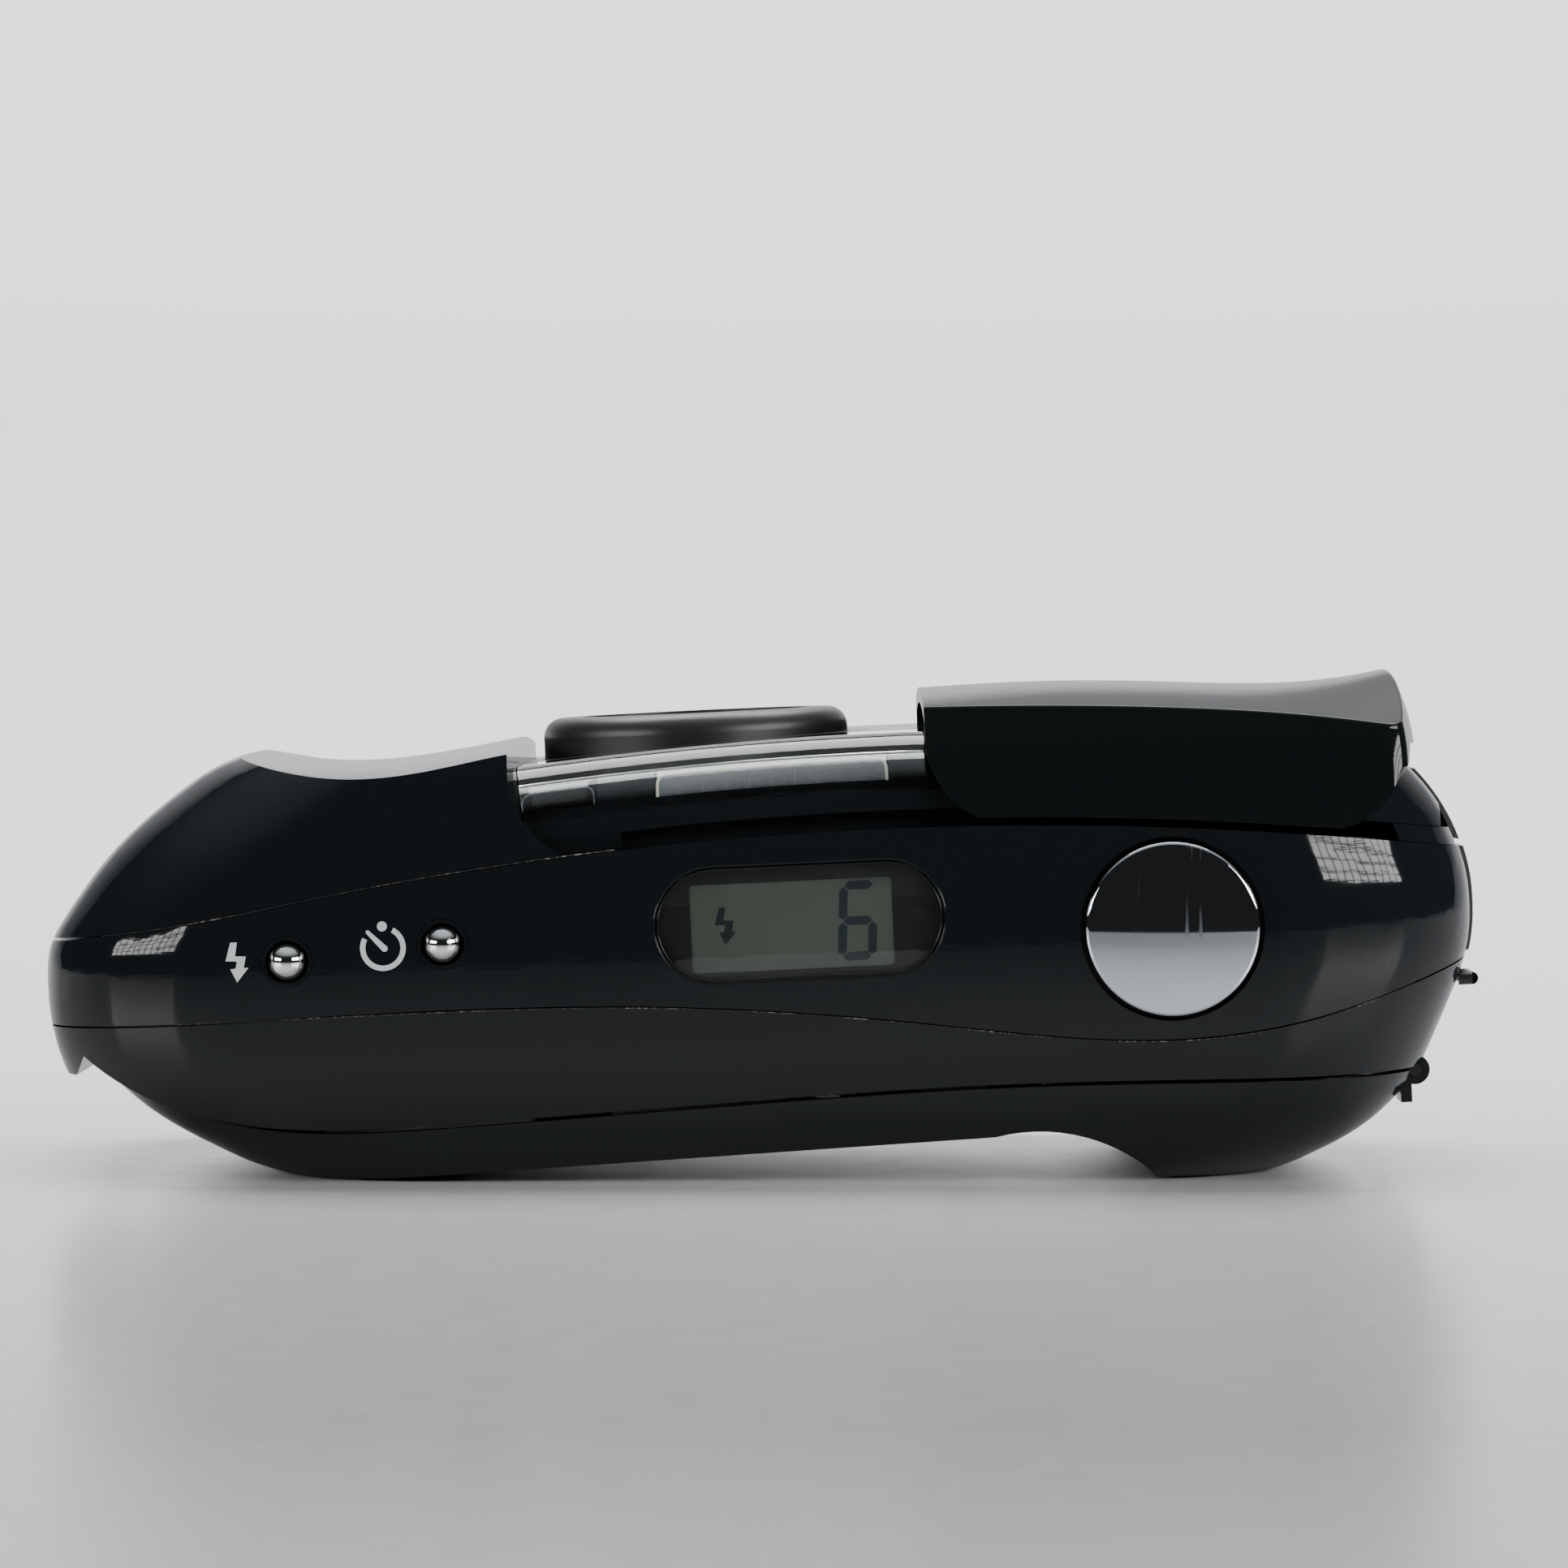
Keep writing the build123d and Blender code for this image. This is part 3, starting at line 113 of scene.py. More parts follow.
@dataclass(frozen=True)
class CameraForm:
    """Driving sizes of the body in the design frame, in millimetres.

    A circle is (x, z, radius). Seam A runs over the top plate under the cover, seam B below the
    buttons. The track is the arc that the cover slides on. The ends reach a little beyond the
    belt's circles at rest.
    """

    body_height: float = 60.0
    crown_level: float = 16.5
    crown_radius: float = 56.0
    corner_left: float = 15.0
    corner_right: float = 16.0
    belt_left: Circle = (-39.0, 15.5, 18.0)
    nose_left: Circle = (-27.4, 3.3, 33.3)
    nose_seam_x: float = -56.0
    belt_right: Circle = (41.0, 17.5, 16.0)
    hump_right: Circle = (38.0, 14.0, 17.3)
    hump_foot_level: float = -2.0
    hump_foot_slope: float = 1.6
    door_left: Circle = (-33.1, 25.7, 25.7)
    beyond_left: float = 0.7
    beyond_right: float = 0.5
    back_edge_round: float = 5.0
    back_edge_level: float = 3.0
    back_edge_depth: float = 3.5
    track_x: float = 10.0
    track_top: float = 25.9
    seam_radius: float = 285.0
    seam_turn_x: float = -38.0
    seam_turn_radius: float = 164.0
    slot_gap: float = 0.1
    slot_height: float = 1.2
    slot_left: float = -10.7
    front_radius: float = 292.3
    front_round: float = 4.3
    core_half: float = 27.2
    core_draft: float = 0.5
    shutter_x: float = 32.5
    shutter_z: float = 17.0
    shutter_radius: float = 6.9
    shutter_rise: float = 0.7
    shutter_edge_proud: float = 0.45
    seam_b_points: Tuple = ((-66, 13.0), (-30, 13.1), (-9, 12.7), (13.4, 10.3), (32.5, 8.2), (45, 9.7),
                            (54.1, 12.4), (62, 14.6))

    @property
    def track_z(self) -> float:
        """Level of the axis that the cover's track runs about."""
        return self.track_top - self.seam_radius

    @property
    def slot_top_radius(self) -> float:
        """Track radius of the upper edge of the cover's slot."""
        return self.seam_radius + self.slot_gap + self.slot_height

    @property
    def tilt(self) -> float:
        """Angle in radians that brings the two back bulges onto one level."""
        lx, lz, left = self.door_left
        hx, hz, hump = self.hump_right
        lean = math.atan2(lz - hz, hx - lx)
        return lean - math.asin((left - hump) / math.hypot(hx - lx, hz - lz))

    def turned(self, x: Array, z: Array) -> Tuple[Array, Array]:
        """The point (x, z) turned by the rest tilt about the Y axis."""
        a = self.tilt
        return x * math.cos(a) - z * math.sin(a), x * math.sin(a) + z * math.cos(a)

    @property
    def shift(self) -> Triple:
        """How far the turned camera moves to stand centred on the floor."""
        low = self.turned(self.hump_right[0], self.hump_right[1])[1] - self.hump_right[2]
        left = self.turned(self.belt_left[0], self.belt_left[1])[0] - self.belt_left[2]
        right = self.turned(self.belt_right[0], self.belt_right[1])[0] + self.belt_right[2]
        dome = float(self.half(self.shutter_z)) + self.shutter_edge_proud + self.shutter_rise
        middle = (left - self.beyond_left + right + self.beyond_right) / 2
        return -middle, (dome - self.body_height / 2) / 2, -low

    def row(self, points: Array) -> Array:
        """Design-frame millimetres laid down to row-frame metres, for an array of points (..., 3).

        Args:
            points: Points in the design frame.

        Returns:
            The same points in the row frame.
        """
        dx, dy, dz = self.shift
        x, z = self.turned(points[..., 0], points[..., 2])
        return np.stack([x + dx, points[..., 1] + dy, z + dz], -1) * MM

    def seam_a(self, x: Array) -> Array:
        """Seam A: the track's arc, which bends the other way left of its turning point.

        The second circle touches the first where they meet, so both centres and that point lie on
        one line.

        Args:
            x: Places along the camera.

        Returns:
            Levels of the seam.
        """
        x = np.asarray(x, float)
        sine = (self.track_x - self.seam_turn_x) / self.seam_radius
        cosine = math.sqrt(1 - sine ** 2)
        centre_x = self.track_x - (self.seam_radius + self.seam_turn_radius) * sine
        centre_z = self.track_z + (self.seam_radius + self.seam_turn_radius) * cosine
        big = self.track_level(x, self.seam_radius)
        small = centre_z - np.sqrt(self.seam_turn_radius ** 2 - (x - centre_x) ** 2)
        return np.where(x >= self.seam_turn_x, big, small)

    def track_level(self, x: Array, radius: float) -> Array:
        """Level at x of a circle about the track axis."""
        return self.track_z + np.sqrt(radius ** 2 - (np.asarray(x, float) - self.track_x) ** 2)

    def left(self, z: Array) -> Array:
        """Left reach: the nose's circle above seam A and the belt's below it.

        Args:
            z: Levels.

        Returns:
            X of the left end.
        """
        above = z > float(self.seam_a(self.nose_seam_x))
        return np.where(above, self.nose_left[0] - reach(self.nose_left, z),
                        self.belt_left[0] - reach(self.belt_left, z))

    def right(self, z: Array) -> Array:
        """Right reach: the further of the belt's end and the thumb hump, which slants in at its foot.

        Args:
            z: Levels.

        Returns:
            X of the right end.
        """
        start = self.hump_foot_level
        hump = self.hump_right[0] + reach(self.hump_right, np.maximum(z, start))
        hump = hump - self.hump_foot_slope * np.maximum(start - z, 0.0)
        return np.maximum(hump, self.belt_right[0] + reach(self.belt_right, z))

    def half(self, z: Array) -> Array:
        """Half height of the crowned plates, drawn in by a quarter round along the hump's long edges.

        The crown is a shallow arc drawn as a parabola: it falls by the square of the height from
        its highest level over twice its radius.

        Args:
            z: Levels.

        Returns:
            Half heights.
        """
        half = self.body_height / 2 - (z - self.crown_level) ** 2 / (2 * self.crown_radius)
        depth = self.back_edge_level + self.back_edge_depth
        drop = np.clip((self.back_edge_level - z) / depth, 0.0, 1.0)
        return half - self.back_edge_round * (1 - np.sqrt(1 - drop ** 2))

    def plate(self, x: Array, z: Array) -> Array:
        """Depth of the top plate's skin between its rounded ends: minus the half height."""
        return -self.half(z) + 0 * x


FORM = CameraForm()


# Meshes


def add_piece(name: str, points: Array, faces: Sequence, body: Body,
              material: bpy.types.Material, sharp: float = 32.0) -> bpy.types.Object:
    """Makes an object from row-frame points in metres and lets it ride on a body.

    Args:
        name: Name of the piece.
        points: Array of shape (n, 3).
        faces: Index lists, pointing outwards.
        body: Body that carries the piece.
        material: Finish.
        sharp: Edges that turn more than this many degrees stay crisp.

    Returns:
        The new object.
    """
    mesh = bpy.data.meshes.new(name)
    mesh.from_pydata(points.tolist(), [], [list(map(int, f)) for f in faces])
    mesh.polygons.foreach_set("use_smooth", [True] * len(mesh.polygons))
    mesh.set_sharp_from_angle(angle=math.radians(sharp))
    mesh.materials.append(material)
    piece = bpy.data.objects.new(name, mesh)
    bpy.context.scene.collection.objects.link(piece)
    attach(piece, body.value)
    log.info("%s: %d faces on %s", name, len(mesh.polygons), body.value)
    return piece


def grid_faces(rows: int, columns: int, close_rows: bool = False, close_columns: bool = False) -> Array:
    """Quads of a grid whose points are stored row by row.

    Args:
        rows: Number of rows of points.
        columns: Number of points in a row.
        close_rows: Whether the last row joins the first.
        close_columns: Whether each row closes on itself.

    Returns:
        Index array of shape (quads, 4).
    """
    r = np.arange(rows if close_rows else rows - 1)
    c = np.arange(columns if close_columns else columns - 1)
    r, c = (v.ravel() for v in np.meshgrid(r, c, indexing="ij"))
    r2, c2 = (r + 1) % rows, (c + 1) % columns
    return np.stack([r * columns + c, r * columns + c2, r2 * columns + c2, r2 * columns + c], 1)


def stadium_outline(x: float, z: float, width: float, height: float, count: int) -> Array:
    """Two half circles joined by straight sides, counted round from the right end's foot.

    Args:
        x: Middle of the shape.
        z: Level of its middle.
        width: Size from end to end.
        height: Size across, which is twice the radius of the ends.
        count: Points on each end.

    Returns:
        Points (x, z).
    """
    radius, straight = height / 2, (width - height) / 2
    a = np.linspace(-math.pi / 2, math.pi / 2, count)
    right = np.stack([x + straight + radius * np.cos(a), z + radius * np.sin(a)], 1)
    left = np.stack([x - straight - radius * np.cos(a), z - radius * np.sin(a)], 1)
    return np.concatenate([right, left])


def arc(centre: Pair, radius: float, start: float, end: float, count: int) -> Array:
    """Points on an arc.

    Args:
        centre: Its centre.
        radius: Its radius.
        start: First angle in degrees.
        end: Last angle in degrees.
        count: Number of points.

    Returns:
        Points (n, 2).
    """
    a = np.radians(np.linspace(start, end, count))
    return np.stack([centre[0] + radius * np.cos(a), centre[1] + radius * np.sin(a)], 1)


def natural_spline(knots: Sequence[Pair]) -> Callable[[Array], Array]:
    """A smooth curve through points: cubic pieces whose bend is nil at both ends.

    Args:
        knots: (x, value) pairs with rising x.

    Returns:
        A function from x to the value.
    """
    xs, ys = (np.array(v, float) for v in zip(*knots))
    gaps, slopes = np.diff(xs), np.diff(ys) / np.diff(xs)
    count = len(xs)
    system, right = np.eye(count), np.zeros(count)
    inner = np.arange(1, count - 1)
    system[inner, inner - 1], system[inner, inner + 1] = gaps[:-1], gaps[1:]
    system[inner, inner] = 2 * (gaps[:-1] + gaps[1:])
    right[inner] = 6 * (slopes[1:] - slopes[:-1])
    bend = np.linalg.solve(system, right)

    def value(x: Array) -> Array:
        """Value of the piece that x falls in, held at the first and the last knot.

        Args:
            x: Places along the curve.

        Returns:
            Values.
        """
        x = np.clip(np.asarray(x, float), xs[0], xs[-1])
        i = np.clip(np.searchsorted(xs, x) - 1, 0, count - 2)
        h, t = gaps[i], x - xs[i]
        start = slopes[i] - h * (2 * bend[i] + bend[i + 1]) / 6
        return ys[i] + t * (start + t * (bend[i] / 2 + t * (bend[i + 1] - bend[i]) / (6 * h)))

    return value


def circle_through(a: Pair, b: Pair, c: Pair) -> Circle:
    """The circle through three points: its centre is as far from each of them.

    Args:
        a: First point.
        b: Second point.
        c: Third point.

    Returns:
        Centre and radius.
    """
    d = 2 * (a[0] * (b[1] - c[1]) + b[0] * (c[1] - a[1]) + c[0] * (a[1] - b[1]))
    p, q, r = (v[0] ** 2 + v[1] ** 2 for v in (a, b, c))
    x = (p * (b[1] - c[1]) + q * (c[1] - a[1]) + r * (a[1] - b[1])) / d
    z = (p * (c[0] - b[0]) + q * (a[0] - c[0]) + r * (b[0] - a[0])) / d
    return x, z, math.hypot(a[0] - x, a[1] - z)


def walled(outer: Array, inner: Array, faces: Array, steps_per_mm: int = 2000) -> Mesh:
    """Closes an outer skin with an inner one of the same layout and a rim along every open edge.

    Points that lie on each other are joined first, and sides that vanish are dropped. An edge is
    open where no neighbouring face runs along it the other way.

    Args:
        outer: Outer skin's points, shape (n, 3), in millimetres.
        inner: Inner skin's points, in the same order.
        faces: Quads of the outer skin, pointing outwards.
        steps_per_mm: Points that fall into the same step count as one.

    Returns:
        Points and faces of the closed wall.
    """
    _, first, inverse = np.unique(np.round(outer * steps_per_mm).astype(np.int64), axis=0,
                                  return_index=True, return_inverse=True)
    rings = [[v for i, v in enumerate(f) if v != f[i - 1]] for f in inverse.reshape(-1)[faces].tolist()]
    kept = [ring for ring in rings if len(set(ring)) == len(ring) >= 3]
    count = len(first)
    directed = {(f[i - 1], f[i]) for f in kept for i in range(len(f))}
    rim = [[b, a, a + count, b + count] for a, b in sorted(directed) if (b, a) not in directed]
    back = [[v + count for v in reversed(f)] for f in kept]
    return np.concatenate([outer[first], inner[first]]), kept + back + rim


def swept_bar(stations: Array) -> Mesh:
    """A bar with four-cornered sections: sides between neighbours and a cap at each end.

    Args:
        stations: Corners of the sections in order, shape (n, 4, 3).

    Returns:
        Points and faces of the closed bar.
    """
    last = 4 * (len(stations) - 1)
    faces = grid_faces(len(stations), 4, close_columns=True).tolist()
    return stations.reshape(-1, 3), faces + [[0, 1, 2, 3], [last, last + 1, last + 2, last + 3]]


@dataclass
class CappedShell:
    """A shell with upright sides that meet a crowned face along a crease.

    side(z, inset) gives the plan outline from the near to the far open edge, foot(x, y) the level of
    its lower edge and face(x, y) the level of the face. The crease lies where the side's level
    equals the face's, found by repeated steps. The face is a patch blended between its four edges.
    """

    side: Callable[[Array, float], Tuple[Array, Array]]
    foot: Callable[[Array, Array], Array]
    face: Callable[[Array, Array], Array]
    long_points: int
    side_rows: int = 24
    round_rows: int = 5
    first_level: float = 32.0
    first_wall: float = 4.0
    least_wall: float = 0.2
    crease_steps: int = 40
    foot_steps: int = 30

    def skin(self, inset: float, rounding: float) -> Tuple[Array, Array]:
        """Works out one skin: the upright wall, the quarter round along the crease and the face.

        Each step of a search goes half way to the level that the last outline gives.

        Args:
            inset: How far it lies inside the outer form.
            rounding: Radius along the crease.

        Returns:
            Points (n, 3) in millimetres and quads.
        """
        count = self.side(np.full((1, 1), self.first_level), 0.0)[0].shape[-1]
        z = np.full((1, count), self.first_level)
        for _ in range(self.crease_steps):
            x, y = self.side(z, inset)
            z = 0.5 * z + 0.5 * (self.face(x, y) - inset)
        top = z - rounding
        t = np.linspace(0, 1, self.side_rows)[:, None]
        foot = top - self.first_wall
        for _ in range(self.foot_steps):
            lowest = np.minimum(self.foot(*self.side(foot, inset)), top - self.least_wall)
            foot = 0.5 * foot + 0.5 * lowest
        level = foot + t * (top - foot)
        x, y = self.side(level, inset)
        wall = [np.stack([x, y, level], -1)]
        base_x, base_y = self.side(top, inset)
        run_x, run_y = np.gradient(base_x[0]), np.gradient(base_y[0])
        length = np.hypot(run_x, run_y)
        in_x, in_y = -run_y / length, run_x / length
        phi = np.radians(np.linspace(0, 90, self.round_rows + 1)[1:])[:, None]
        move = rounding * (1 - np.cos(phi))
        crest = self.face(base_x + in_x * rounding, base_y + in_y * rounding) - inset
        rise = top + (crest - top) * np.sin(phi)
        wall.append(np.stack([base_x + in_x * move, base_y + in_y * move, rise], -1))
        wall = np.concatenate(wall)
        patch = self.patch(wall[-1], inset)
        points = np.concatenate([wall.reshape(-1, 3), patch.reshape(-1, 3)])
        patch_faces = grid_faces(*patch.shape[:2])[:, ::-1] + wall.shape[0] * wall.shape[1]
        return points, np.concatenate([grid_faces(*wall.shape[:2]), patch_faces])

    def patch(self, loop: Array, inset: float) -> Array:
        """The face within the crease.

        In plan, each point is the sum of the blends between facing edges less the blend between
        the four corners. Its level is the face's.

        Args:
            loop: Points of the crease from the near to the far open edge, shape (n, 3).
            inset: How far the face lies inside the outer form.

        Returns:
            Grid of points, shape (long, end, 3).
        """
        n = self.long_points
        near, far, end = loop[:n], loop[::-1][:n], loop[n - 1:len(loop) - n + 1]
        s = np.linspace(0, 1, n)[:, None, None]
        t = np.linspace(0, 1, len(end))[None, :, None]
        opened = near[0] + (far[0] - near[0]) * t
        across = (1 - t) * near[:, None] + t * far[:, None]
        along = (1 - s) * opened + s * end[None]
        corners = ((1 - s) * (1 - t) * near[0] + s * (1 - t) * near[-1] + (1 - s) * t * far[0]
                   + s * t * far[-1])
        patch = across + along - corners
        patch[..., 2] = self.face(patch[..., 0], patch[..., 1]) - inset
        patch[:, 0], patch[:, -1], patch[-1] = near, far, end
        return patch

    def closed(self, thickness: float, rounding: float) -> Mesh:
        """The shell with its inner skin and rims.

        Args:
            thickness: Wall thickness.
            rounding: Radius along the crease.

        Returns:
            Points and faces.
        """
        outer, faces = self.skin(0.0, rounding)
        inner, _ = self.skin(thickness, rounding)
        return walled(outer, inner, faces)


def add_print(name: str, outline: Array, level: Callable[[Array, Array], Array], proud: float, sunk: float,
              body: Body, material: bpy.types.Material) -> bpy.types.Object:
    """A thin raised shape on a surface that faces -Y.

    Args:
        name: Name of the piece.
        outline: Shape (n, 2) of (x, z), counted round anticlockwise or clockwise.
        level: Y of the surface at (x, z).
        proud: How far the shape stands off the surface.
        sunk: How far its back lies under the surface.
        body: Body that carries it.
        material: Finish.

    Returns:
        The new piece.
    """
    x, z = outline.T
    area = float(np.sum(x * np.roll(z, -1) - np.roll(x, -1) * z))
    if area < 0:
        x, z = x[::-1], z[::-1]
    surface = level(x, z)
    count = len(x)
    front, back = np.stack([x, surface - proud, z], 1), np.stack([x, surface + sunk, z], 1)
    caps = [list(range(count)), list(range(2 * count - 1, count - 1, -1))]
    sides = [[int(v) for v in quad[::-1]] for quad in grid_faces(2, count, close_columns=True)]
    return add_piece(name, FORM.row(np.concatenate([front, back])), caps + sides, body, material)


def add_bead(name: str, path: Array, radius: float, body: Body, material: bpy.types.Material,
             closed: bool, sides: int = 12) -> bpy.types.Object:
    """A round bead along a path: circles in the plane across the path at each of its points.

    Args:
        name: Name of the piece.
        path: Shape (n, 3), design-frame millimetres.
        radius: Radius of the bead.
        body: Body that carries it.
        material: Finish.
        closed: Whether the path closes on itself.
        sides: Points on each circle.

    Returns:
        The new piece.
    """
    ahead, behind = np.roll(path, -1, 0), np.roll(path, 1, 0)
    if not closed:
        ahead[-1], behind[0] = path[-1], path[0]
    along = ahead - behind
    along /= np.linalg.norm(along, axis=1, keepdims=True)
    # No path runs along this direction, so the product never vanishes.
    across = np.cross(along, np.array([0.0, -1.0, 0.001]))
    across /= np.linalg.norm(across, axis=1, keepdims=True)
    up = np.cross(along, across)
    a = np.linspace(0, 2 * math.pi, sides, endpoint=False)[None, :, None]
    points = path[:, None] + radius * (across[:, None] * np.cos(a) + up[:, None] * np.sin(a))
    faces = grid_faces(len(path), sides, close_rows=closed, close_columns=True).tolist()
    if not closed:
        last = (len(path) - 1) * sides
        faces += [list(range(sides))[::-1], list(range(last, last + sides))]
    return outward(add_piece(name, FORM.row(points.reshape(-1, 3)), faces, body, material))


def outward(piece: bpy.types.Object) -> bpy.types.Object:
    """Turns every face of a closed piece outwards.

    Args:
        piece: Piece with a closed mesh.

    Returns:
        The same piece.
    """
    work = bmesh.new()
    work.from_mesh(piece.data)
    bmesh.ops.recalc_face_normals(work, faces=work.faces)
    work.to_mesh(piece.data)
    work.free()
    return piece


def add_lathe(name: str, profile: Array, centre: Pair, body: Body,
              material: bpy.types.Material, count: int = 160) -> bpy.types.Object:
    """Turns a profile round an axis along Y: each (radius, y) becomes a circle of points in x and z.

    Args:
        name: Name of the piece.
        profile: Shape (n, 2), from the axis round to the axis again.
        centre: (x, z) of the axis.
        body: Body that carries it.
        material: Finish.
        count: Points on each circle.

    Returns:
        The new piece.
    """
    a = np.linspace(0, 2 * math.pi, count, endpoint=False)
    ring = profile[1:-1]
    radius, y = ring[:, :1], np.repeat(ring[:, 1:], count, 1)
    points = np.stack([centre[0] + radius * np.cos(a), y, centre[1] + radius * np.sin(a)], -1).reshape(-1, 3)
    poles = np.array([[centre[0], profile[0, 1], centre[1]], [centre[0], profile[-1, 1], centre[1]]])
    first, last = len(points), len(points) + 1
    i = np.arange(count)
    j = (i + 1) % count
    end = (len(ring) - 1) * count
    near = np.stack([np.full(count, first), i, j], 1)
    far = np.stack([np.full(count, last), end + j, end + i], 1)
    faces = grid_faces(len(ring), count, close_columns=True).tolist() + near.tolist() + far.tolist()
    return outward(add_piece(name, FORM.row(np.concatenate([points, poles])), faces, body, material))


# Finishes


def linear(code: str) -> Tuple[float, float, float, float]:
    """An sRGB hex code as a linear colour: each channel runs through the sRGB curve."""
    parts = [int(code[i:i + 2], 16) / 255 for i in (1, 3, 5)]
    return tuple(c / 12.92 if c <= 0.04045 else ((c + 0.055) / 1.055) ** 2.4 for c in parts) + (1.0,)


def add_node(tree: bpy.types.NodeTree, kind: str, settings: Optional[Dict] = None,
             links: Optional[Dict] = None) -> bpy.types.Node:
    """Adds a node.

    Args:
        tree: Node tree of the material.
        kind: Type name of the node.
        settings: Values by socket name or number, or by property name.
        links: Output sockets by the name or number of the input they feed.

    Returns:
        The new node.
    """
    node = tree.nodes.new(kind)
    for key, value in (settings or {}).items():
        if isinstance(key, str) and hasattr(node, key):
            setattr(node, key, value)
        else:
            node.inputs[key].default_value = value
    for key, output in (links or {}).items():
        tree.links.new(output, node.inputs[key])
    return node


def clouds(tree: bpy.types.NodeTree, place: bpy.types.NodeSocket, pitch: float, detail: float,
           span: Pair, values: Pair = (0.0, 1.0)) -> bpy.types.NodeSocket:
    """A pattern of patches: noise taken from a span of its own to a span of values and held there.

    Args:
        tree: Node tree of the material.
        place: Coordinates in metres.
        pitch: Size of a patch in millimetres.
        detail: Number of finer octaves.
        span: Noise that gives the first and the last value.
        values: First and last value.

    Returns:
        The socket with the values.
    """
    noise = add_node(tree, "ShaderNodeTexNoise", {"Scale": 1 / (pitch * MM), "Detail": detail},
                     {"Vector": place})
    limits = {"From Min": span[0], "From Max": span[1], "To Min": values[0], "To Max": values[1]}
    return add_node(tree, "ShaderNodeMapRange", limits, {"Value": noise.outputs["Fac"]}).outputs["Result"]


@dataclass(frozen=True)
class Finish:
    """A material made from its common name and how its surface was made.

    cloud_pitch is the size in millimetres of the patches that differ in gloss, and cloud_gloss
    the shares of the roughness between which they lie.
    """

    name: str
    colour: str
    roughness: float = 0.4
    metallic: float = 0.0
    ior: float = 1.5
    cloud_pitch: float = 11.111111
    cloud_gloss: Pair = (0.85, 1.2)

    def start(self) -> Tuple[bpy.types.Material, bpy.types.NodeTree, bpy.types.Node, bpy.types.NodeSocket]:
        """Makes the material with its even colour and gloss.

        Returns:
            The material, its tree, its shader and its Object coordinates.
        """
        material = bpy.data.materials.new(self.name)
        material.use_nodes = True
        tree = material.node_tree
        shader = tree.nodes["Principled BSDF"]
        shader.inputs["Base Color"].default_value = linear(self.colour)
        shader.inputs["Roughness"].default_value = self.roughness
        shader.inputs["Metallic"].default_value = self.metallic
        shader.inputs["IOR"].default_value = self.ior
        place = add_node(tree, "ShaderNodeTexCoord").outputs["Object"]
        return material, tree, shader, place

    def make(self) -> bpy.types.Material:
        """Builds the material with a faint unevenness in gloss.

        Returns:
            The material.
        """
        material, tree, shader, place = self.start()
        gloss = tuple(self.roughness * share for share in self.cloud_gloss)
        spread = clouds(tree, place, self.cloud_pitch, 4.0, (0.3, 0.7), gloss)
        tree.links.new(spread, shader.inputs["Roughness"])
        return material


@dataclass(frozen=True)
class GlossMoulding(Finish):
    """Injection-moulded glossy ABS: a wet gloss over a faint haze, hairline scuffs and sparse dust.

    The gloss is a coat over a body without a highlight of its own. Dust lies in cells with one
    speck each, and the larger share of the cells is bare. Lengths are in millimetres. Real
    hairlines are finer: these are as coarse as the picture needs to show them.
    """

    haze: float = 0.42
    haze_level: float = 0.0
    wet: float = 0.5
    wet_index: float = 1.52
    dust: str = "#8d9092"
    dust_cell: float = 4.2
    dust_size: float = 0.055
    dust_cover: float = 0.55
    bare_share: float = 0.62
    scuff_pitch: float = 2.4
    scuff_stretch: Triple = (1.0, 1.0, 7.0)
    scuff_turn: Triple = (0.3, 0.5, 0.2)
    scuff_strength: float = 0.012
    scuff_depth: float = 0.4

    def make(self) -> bpy.types.Material:
        """Builds an even gloss with fine scuffs in the reflection, over a haze with dust specks.

        Returns:
            The material.
        """
        material, tree, shader, place = self.start()
        cells = add_node(tree, "ShaderNodeTexVoronoi", {"Scale": 1 / (self.dust_cell * MM)},
                         {"Vector": place})
        near = add_node(tree, "ShaderNodeMath",
                        {"operation": "LESS_THAN", 1: self.dust_size / self.dust_cell * 2},
                        {0: cells.outputs["Distance"]})
        tone = add_node(tree, "ShaderNodeSeparateColor", {}, {"Color": cells.outputs["Color"]})
        chosen = add_node(tree, "ShaderNodeMath", {"operation": "GREATER_THAN", 1: self.bare_share},
                          {0: tone.outputs["Red"]})
        speck = add_node(tree, "ShaderNodeMath", {"operation": "MULTIPLY"},
                         {0: near.outputs[0], 1: chosen.outputs[0]})
        cover = add_node(tree, "ShaderNodeMath", {"operation": "MULTIPLY", 1: self.dust_cover},
                         {0: speck.outputs[0]})
        colour = add_node(tree, "ShaderNodeMix", {"data_type": "RGBA", 6: linear(self.colour),
                                                  7: linear(self.dust)}, {0: cover.outputs[0]})
        tree.links.new(colour.outputs[2], shader.inputs["Base Color"])
        shader.inputs["Roughness"].default_value = self.haze
        shader.inputs["Specular IOR Level"].default_value = self.haze_level
        shader.inputs["Coat Weight"].default_value = self.wet
        shader.inputs["Coat IOR"].default_value = self.wet_index
        shader.inputs["Coat Roughness"].default_value = self.roughness
        stretch = add_node(tree, "ShaderNodeMapping",
                           {"Scale": self.scuff_stretch, "Rotation": self.scuff_turn}, {"Vector": place})
        scuffs = add_node(tree, "ShaderNodeTexNoise", {"Scale": 1 / (self.scuff_pitch * MM), "Detail": 2.0},
                          {"Vector": stretch.outputs["Vector"]})
        bump = add_node(tree, "ShaderNodeBump",
                        {"Strength": self.scuff_strength, "Distance": self.scuff_depth * MM},
                        {"Height": scuffs.outputs["Fac"]})
        tree.links.new(bump.outputs["Normal"], shader.inputs["Normal"])
        tree.links.new(bump.outputs["Normal"], shader.inputs["Coat Normal"])
        return material


